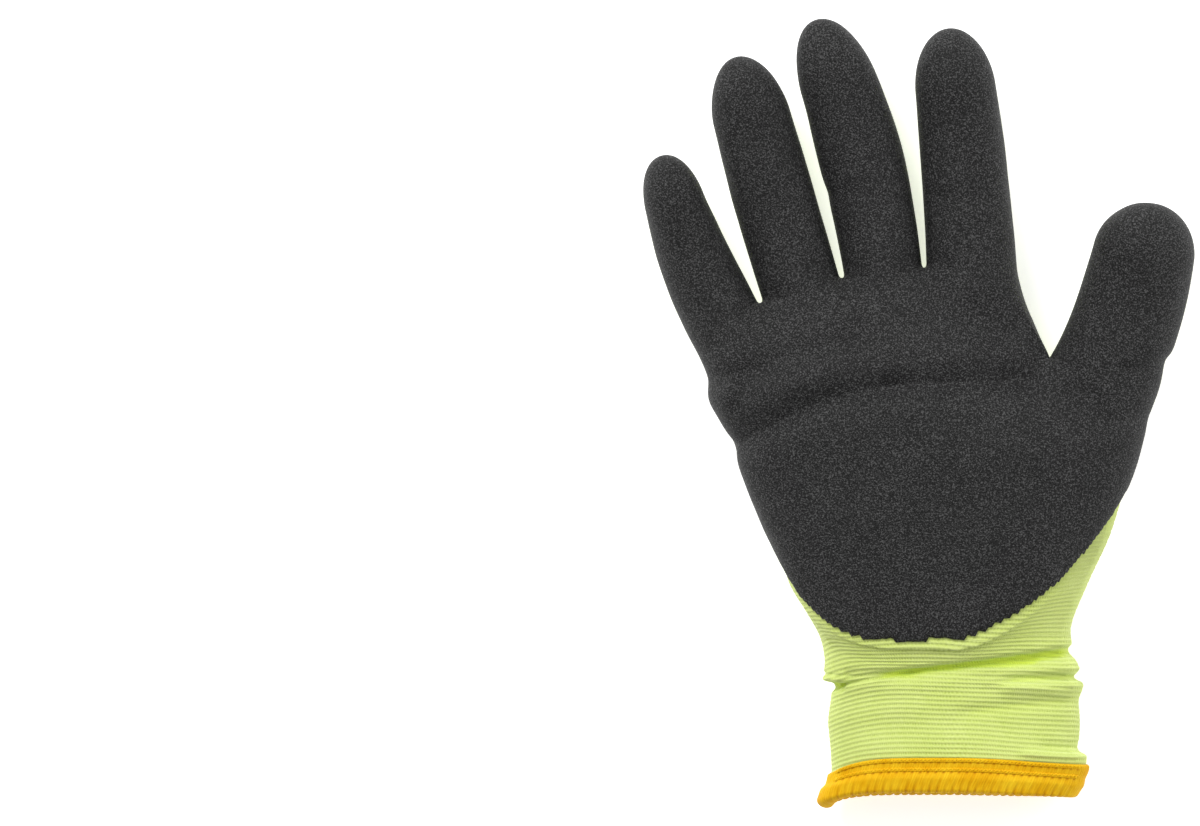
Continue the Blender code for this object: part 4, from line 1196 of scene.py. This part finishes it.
# %% The binding's material
THREAD_LIGHT = (0.88, 0.59, 0.020)
THREAD_MIDDLE = (0.72, 0.37, 0.002)
# THREAD_DEEP is also the painted shade of grooves and holes
THREAD_DEEP = (0.47, 0.17, 0.001)
THREADS_IN_RIB = 3
ROWS_IN_NUMBER = 4  # rows of the roll over which the second number of its stitches grows by 1
CELLS_ACROSS, CELLS_ALONG = 12.0, 0.35  # cells of the noise to a rib, and to that many rows
THREAD_CLOUD_SCALE = 160  # cells to a metre


def make_thread():
    """Wound thread: its tone is a sum of single strands, threads and clouds, with painted shade in grooves
    and holes.
    """
    material, tree, shader = new_material("overlock_thread")
    rib, along = stitch_numbers(tree)
    place = put(tree, "ShaderNodeTexCoord").outputs["Object"]
    wires = {0: reckon(tree, "MULTIPLY", rib, CELLS_ACROSS), 1: reckon(tree, "MULTIPLY", along, CELLS_ALONG)}
    strands = noise(tree, put(tree, "ShaderNodeCombineXYZ", wires).outputs[0], 1.0, 3.0, 0.6)
    threads = wave_of(tree, reckon(tree, "MULTIPLY", rib, THREADS_IN_RIB))
    cloud = noise(tree, place, THREAD_CLOUD_SCALE, 2.0)
    tone = reckon(tree, "MULTIPLY_ADD", threads, 0.12, reckon(tree, "MULTIPLY", strands, 0.8))
    tone = reckon(tree, "ADD", tone, reckon(tree, "MULTIPLY_ADD", cloud, 0.6, -0.22))
    colour = ramp(tree, tone, (0.10, THREAD_DEEP), (0.42, THREAD_MIDDLE), (0.85, THREAD_LIGHT))
    # Painted shade in the grooves and holes, from the shade attribute
    tree.links.new(shaded(tree, colour, THREAD_DEEP), shader.inputs["Base Color"])
    bump = put(tree, "ShaderNodeBump", {"Height": strands, "Strength": 0.6, "Distance": 0.0003})
    tree.links.new(bump.outputs[0], shader.inputs["Normal"])
    shader.inputs["Roughness"].default_value = 0.6
    shader.inputs["Specular IOR Level"].default_value = 0.06
    shader.inputs["Sheen Weight"].default_value = 0.04
    shader.inputs["Sheen Roughness"].default_value = 0.5
    shader.inputs["Sheen Tint"].default_value = (1.0, 0.75, 0.25, 1)
    return material


overlock_thread = make_thread()
print("made", overlock_thread.name)

# %% Walk round the mouth
RIB_PITCH = 0.0025
COLUMNS_IN_RIB = 15
MOUTH_POINTS = 4001  # at which the way round the mouth is measured
LADDER_HEIGHT, LADDER_RUNGS = 1.3 * BINDING_HEIGHT, 27  # rows of the cuff that are folded for the binding
WAY_RUNG = 4  # the way down is read from this rung to the mouth


def place_above_mouth(height):
    """Place along the body's sections at a height above the mouth, measured up the front."""
    cuff = CUFF_SECTIONS
    return np.interp(height, (1 - cuff.down) * CUFF_LENGTH, np.arange(len(cuff.down)))


def even_mouth():
    """Angles that part the mouth into equal lengths, a whole number of ribs, and that number."""
    angle = np.linspace(np.pi, -np.pi, MOUTH_POINTS)
    edge = body_surface(loop_of(angle, BODY_SIDE), np.array([place_above_mouth(BINDING_ROLL / 2)]))[0]
    way = lengths_up(edge[:, None])[:, 0]
    ribs = int(round(way[-1] / RIB_PITCH))
    return np.interp(np.linspace(0, way[-1], ribs * COLUMNS_IN_RIB + 1), way, angle), ribs


mouth_angles, rib_count = even_mouth()
mouth_loop = loop_of(mouth_angles, BODY_SIDE)
print(rib_count, "ribs round the mouth")


def edge_frame(heights):
    """Points, normals and downward ways on the cuff's surface at heights above the mouth, all round."""
    ladder = np.linspace(0, LADDER_HEIGHT, LADDER_RUNGS)
    points, normals = folded_grid(body_surface(mouth_loop, place_above_mouth(ladder)))
    at = np.interp(heights, ladder, np.arange(len(ladder)))
    low = np.minimum(at.astype(int), len(ladder) - 2)
    share = (at - low)[:, None, None]
    way = points[0] - points[WAY_RUNG]
    way /= np.linalg.norm(way, axis=-1, keepdims=True)

    def between(values):
        return values[low] * (1 - share) + values[low + 1] * share

    return between(points), between(normals), way


# %% Wind the roll
RIB_DEPTH = 0.00065  # depth of a groove at the roll's lower edge
THREAD_DEPTH = 0.00006
RIB_LEAN = -0.30  # ribs by which the roll's under side runs ahead of its top
CHAIN_ROWS = {"upper_chain": BINDING_HEIGHT - 0.0007, "lower_chain": BINDING_ROLL - 0.0001}
HOLE_HEIGHT = 0.00045  # half the height of the dots of painted shade for the holes beside a chain stitch
HOLE_DROP = 0.00065  # how far below the stitches their holes lie
SMOOTH_ENDS = (0.90, 0.97)  # share of the half width over which the ribs die out at the cuff's two folds
FLAT_GROOVES = 0.12  # share of a groove's depth that it reaches down the flat part, above the roll
WIND_ROWS, LEAN_ROWS = 12, 8  # rows above the roll's turn from which grooves deepen and ribs lean
GROOVE_WIDTH = 0.4  # power that makes a groove narrow
DARKEST = 0.9  # painted shade of a whole groove or hole
ROLL_SHOULDER = 0.25  # share of the rolled height, from its top, at which the roll is full
UNDER_STEPS = 16
FACE_ROWS, INNER_ROWS = 26, 5
INNER_WIND_ROWS = 4  # rows on the inner face that still have grooves
TOP_ROUNDING = 0.0008  # height over which the flat part's upper edge is rounded
TOP_EDGE = 0.3  # share of the flat wall that is left at that edge
GROOVE_RANGE = (0.55, 1.35)  # the shallowest and the deepest groove, as shares of RIB_DEPTH
at_ends = smooth_step(np.abs(mouth_loop.cosine), *SMOOTH_ENDS)


def roll_profile():
    """Height above the mouth, offset from the shell and drop past the mouth, round the whole profile.

    The outer face comes down flat, swells to the roll, and turns under the mouth as half an ellipse. The
    inner face goes up again, and the last points lie against the shell.
    """
    inner = -SHELL_WALL - SEAT_GAP
    flat_face, roll_face = SEAT_GAP + BINDING_FLAT_WALL, SEAT_GAP + BINDING_ROLL_WALL
    inner_face = inner - BINDING_INNER_WALL
    down = np.linspace(BINDING_HEIGHT, 0, FACE_ROWS)
    swell = smooth_step(-down, -BINDING_ROLL, -BINDING_ROLL * (1 - 2 * ROLL_SHOULDER))
    top_round = TOP_EDGE + (1 - TOP_EDGE) * quarter_round((BINDING_HEIGHT - down) / TOP_ROUNDING)
    outer = SEAT_GAP + (BINDING_FLAT_WALL + (roll_face - flat_face) * swell) * top_round
    turn = np.linspace(0, np.pi, UNDER_STEPS + 1)[1:]
    middle, half = (roll_face + inner_face) / 2, (roll_face - inner_face) / 2
    under = middle + half * np.cos(turn)
    up = np.linspace(0, BINDING_ROLL, INNER_ROWS + 1)[1:]
    inner_seat = [(BINDING_ROLL, inner, 0), (0, inner, SEAT_GAP)]
    outer_seat = [(0, SEAT_GAP, SEAT_GAP), (BINDING_ROLL, SEAT_GAP, 0)]
    return np.concatenate([
        np.column_stack([down, outer, 0 * down]),
        np.column_stack([0 * turn, under, roll_face * np.sin(turn)]),
        np.column_stack([up, np.full(INNER_ROWS, inner_face), 0 * up]),
        inner_seat,
        outer_seat,
    ]), len(down)


def wind_roll():
    """The roll with its ribs: a narrow groove between two ribs deepens towards the lower edge, and fine
    threads run along each rib. Grooves differ in depth, and fade at the two ends, where the roll turns
    round the cuff's folds.
    """
    profile, turn_row = roll_profile()
    heights, offsets, drops = profile.T
    points, normals, way = edge_frame(heights)
    steps = np.arange(len(profile))[:, None]
    wound = FLAT_GROOVES * smooth_step(-heights, -BINDING_HEIGHT, -BINDING_ROLL)[:, None]
    wound = wound + (1 - FLAT_GROOVES) * smooth_step(steps, turn_row - WIND_ROWS, turn_row + UNDER_STEPS / 3)
    wound = wound * (steps < turn_row + UNDER_STEPS + INNER_WIND_ROWS) * (1 - at_ends)
    lean = RIB_LEAN * smooth_step(steps, turn_row - LEAN_ROWS, turn_row + UNDER_STEPS)
    ribs = np.arange(points.shape[1]) / COLUMNS_IN_RIB + lean
    depths = np.random.default_rng(4).uniform(*GROOVE_RANGE, rib_count)
    uneven = depths[np.round(ribs).astype(int) % rib_count]
    groove = 1 - np.abs(np.sin(np.pi * ribs)) ** GROOVE_WIDTH
    threads = 0.5 - 0.5 * np.cos(2 * np.pi * THREADS_IN_RIB * ribs)
    cut_in = RIB_DEPTH * wound * groove * uneven + THREAD_DEPTH * threads * (heights > 0)[:, None]
    under = drops[:, None] / (SEAT_GAP + BINDING_ROLL_WALL)
    outward = offsets[:, None] - np.sign(offsets + SHELL_WALL / 2)[:, None] * cut_in * (1 - under)
    grid = points + normals * outward[:, :, None] + way * (drops[:, None] - cut_in * under)[:, :, None]

    # Painted shade: darker in the grooves, and dots for the holes beside each row of chain stitches
    shade = DARKEST * wound * groove * uneven
    hole_shade = (0.5 + 0.5 * np.cos(2 * np.pi * ribs)) ** 3 * (1 - at_ends)
    for height in CHAIN_ROWS.values():
        near = np.exp(-(((heights - height + HOLE_DROP) / HOLE_HEIGHT) ** 2)) * (steps[:, 0] < turn_row)
        shade = shade + DARKEST * near[:, None] * hole_shade
    ribs = np.broadcast_to(ribs, points.shape[:2])
    stitches = np.stack([ribs, np.broadcast_to(steps / ROWS_IN_NUMBER, ribs.shape)], axis=-1)
    work = Patchwork()
    work.add(np.concatenate([grid, grid[:1]]), np.concatenate([stitches, stitches[:1]]))
    roll = work.sew()
    shade = np.clip(np.concatenate([shade, shade[:1]]).reshape(-1)[roll.first], 0, 1)
    faces, corners = roll.triangles[:, ::-1], roll.corners[:, ::-1]
    return make_piece("wound_roll", roll.points, faces, corners, overlock_thread, shade)


roll = wind_roll()
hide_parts("cuff_binding")

# %% [markdown]
# A chain stitch seen from above is two strands that cross over and over. Each strand here is a thin tube
# whose middle line swings up and down beside the row and in and out of the cloth, a quarter turn apart, so
# that where two strands cross one is above the other.


# %% Sew the chain stitches
STRAND_RADIUS = 0.00036
STRAND_SIDES = 6
STRAND_SEAT, STRAND_SWELL = 0.15, 0.35  # mean height of a strand and its swing in and out, in radii
CHAIN_SWING = 0.00042
SINK = 2.2  # how deep the strands go under at the cuff's two folds, in radii


def strand(points, normals, way, phase):
    """A closed tube along a row of the cuff: rings of points round a middle line that swings both ways."""
    count = len(points)
    beat = np.arange(count) / COLUMNS_IN_RIB + phase
    sunk = SINK * at_ends[:-1]
    over_under = STRAND_SEAT + STRAND_SWELL * np.cos(2 * np.pi * beat * 2)
    lift = SEAT_GAP + BINDING_FLAT_WALL + STRAND_RADIUS * (over_under - sunk)
    middle = points + normals * lift[:, None] + way * (CHAIN_SWING * np.sin(2 * np.pi * beat))[:, None]
    ahead = np.roll(middle, -1, axis=0) - np.roll(middle, 1, axis=0)
    ahead /= np.linalg.norm(ahead, axis=1, keepdims=True)
    outward = normals - ahead * (normals * ahead).sum(axis=1, keepdims=True)
    outward /= np.linalg.norm(outward, axis=1, keepdims=True)
    beside = np.cross(ahead, outward)
    turn = np.linspace(0, 2 * np.pi, STRAND_SIDES + 1)[:, None, None]
    grid = middle + STRAND_RADIUS * (np.cos(turn) * outward + np.sin(turn) * beside)
    grid = np.concatenate([grid, grid[:, :1]], axis=1)
    beats = np.broadcast_to(np.arange(count + 1) / COLUMNS_IN_RIB, grid.shape[:2])
    rounds = np.broadcast_to(turn[:, :, 0], grid.shape[:2])
    return grid, np.stack([beats, rounds], axis=-1)


def sew_chain(name, height):
    """Two strands half a beat apart, at a height above the mouth."""
    points, normals, way = edge_frame(np.array([height]))
    work = Patchwork()
    for phase in (0.0, 0.5):
        work.add(*strand(points[0, :-1], normals[0, :-1], way[:-1], phase))
    chain = work.sew()
    return make_piece(name, chain.points, chain.triangles, chain.corners, overlock_thread)


for chain_name, chain_height in CHAIN_ROWS.items():
    sew_chain(chain_name, chain_height)

# %% [markdown]
# The picture is a plain one: the glove lies on white paper under a soft light from the upper left and a
# weaker one from the right, and the camera looks straight down. A long lens keeps the fingers' sides from
# leaning. The glove fills the right half of the frame.

# %% Table, light and camera
PICTURE_WIDTH, PICTURE_HEIGHT = 1200, 826
PIXEL = 0.0003236  # metres to a pixel
ORIGIN_PIXEL = (936, 480)  # where the glove's origin lies in the picture
LENS = 500.0
SENSOR = 36.0
TABLE_REACH = 4.0  # from the origin to the table's sides
TABLE_DROP = 0.0003  # how far the table lies below the glove

table_mesh = bpy.data.meshes.new("table")
table_corners = [(x, y, -TABLE_DROP) for x, y in TABLE_REACH * np.array([(-1, -1), (1, -1), (1, 1), (-1, 1)])]
table_mesh.from_pydata(table_corners, [], [(0, 1, 2, 3)])
table_top = bpy.data.objects.new("table", table_mesh)
bpy.context.collection.objects.link(table_top)
paper, _, paper_shader = new_material("white_paper")
paper_shader.inputs["Base Color"].default_value = (0.90, 0.90, 0.90, 1)
paper_shader.inputs["Emission Color"].default_value = (1, 1, 1, 1)
paper_shader.inputs["Emission Strength"].default_value = 0.58
paper_shader.inputs["Roughness"].default_value = 0.9
table_mesh.materials.append(paper)
table_top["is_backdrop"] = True


def add_light(name, place, size, power):
    """A square soft light that faces the glove."""
    light = bpy.data.lights.new(name, "AREA")
    light.size = size
    light.energy = power
    lamp = bpy.data.objects.new(name, light)
    lamp.location = place
    bpy.context.collection.objects.link(lamp)
    toward = Vector((0, 0, 0)) - lamp.location
    lamp.rotation_euler = toward.to_track_quat("-Z", "Y").to_euler()


add_light("key", (-0.9, 1.3, 1.5), 1.1, 43)
add_light("fill", (1.4, 0.3, 1.0), 1.6, 16)

world = bpy.data.worlds.new("studio")
world.use_nodes = True
world.node_tree.nodes["Background"].inputs["Color"].default_value = (1, 1, 1, 1)
world.node_tree.nodes["Background"].inputs["Strength"].default_value = 0.405
bpy.context.scene.world = world
bpy.context.scene.view_settings.view_transform = "Standard"

camera_data = bpy.data.cameras.new("camera")
camera_data.lens = LENS
camera_data.sensor_width = SENSOR
camera_data.clip_end = 20
camera = bpy.data.objects.new("camera", camera_data)
width = PICTURE_WIDTH * PIXEL
centre_x = (PICTURE_WIDTH / 2 - ORIGIN_PIXEL[0]) * PIXEL
centre_y = (ORIGIN_PIXEL[1] - PICTURE_HEIGHT / 2) * PIXEL
camera.location = (centre_x, centre_y, width * LENS / SENSOR)
bpy.context.collection.objects.link(camera)
bpy.context.scene.camera = camera
print("camera", round(camera.location.z, 2), "m above the table")

# %% Print the visual box and finish
dressed_low, dressed_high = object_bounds()
print("visual box in mm:", in_mm(dressed_high - dressed_low))
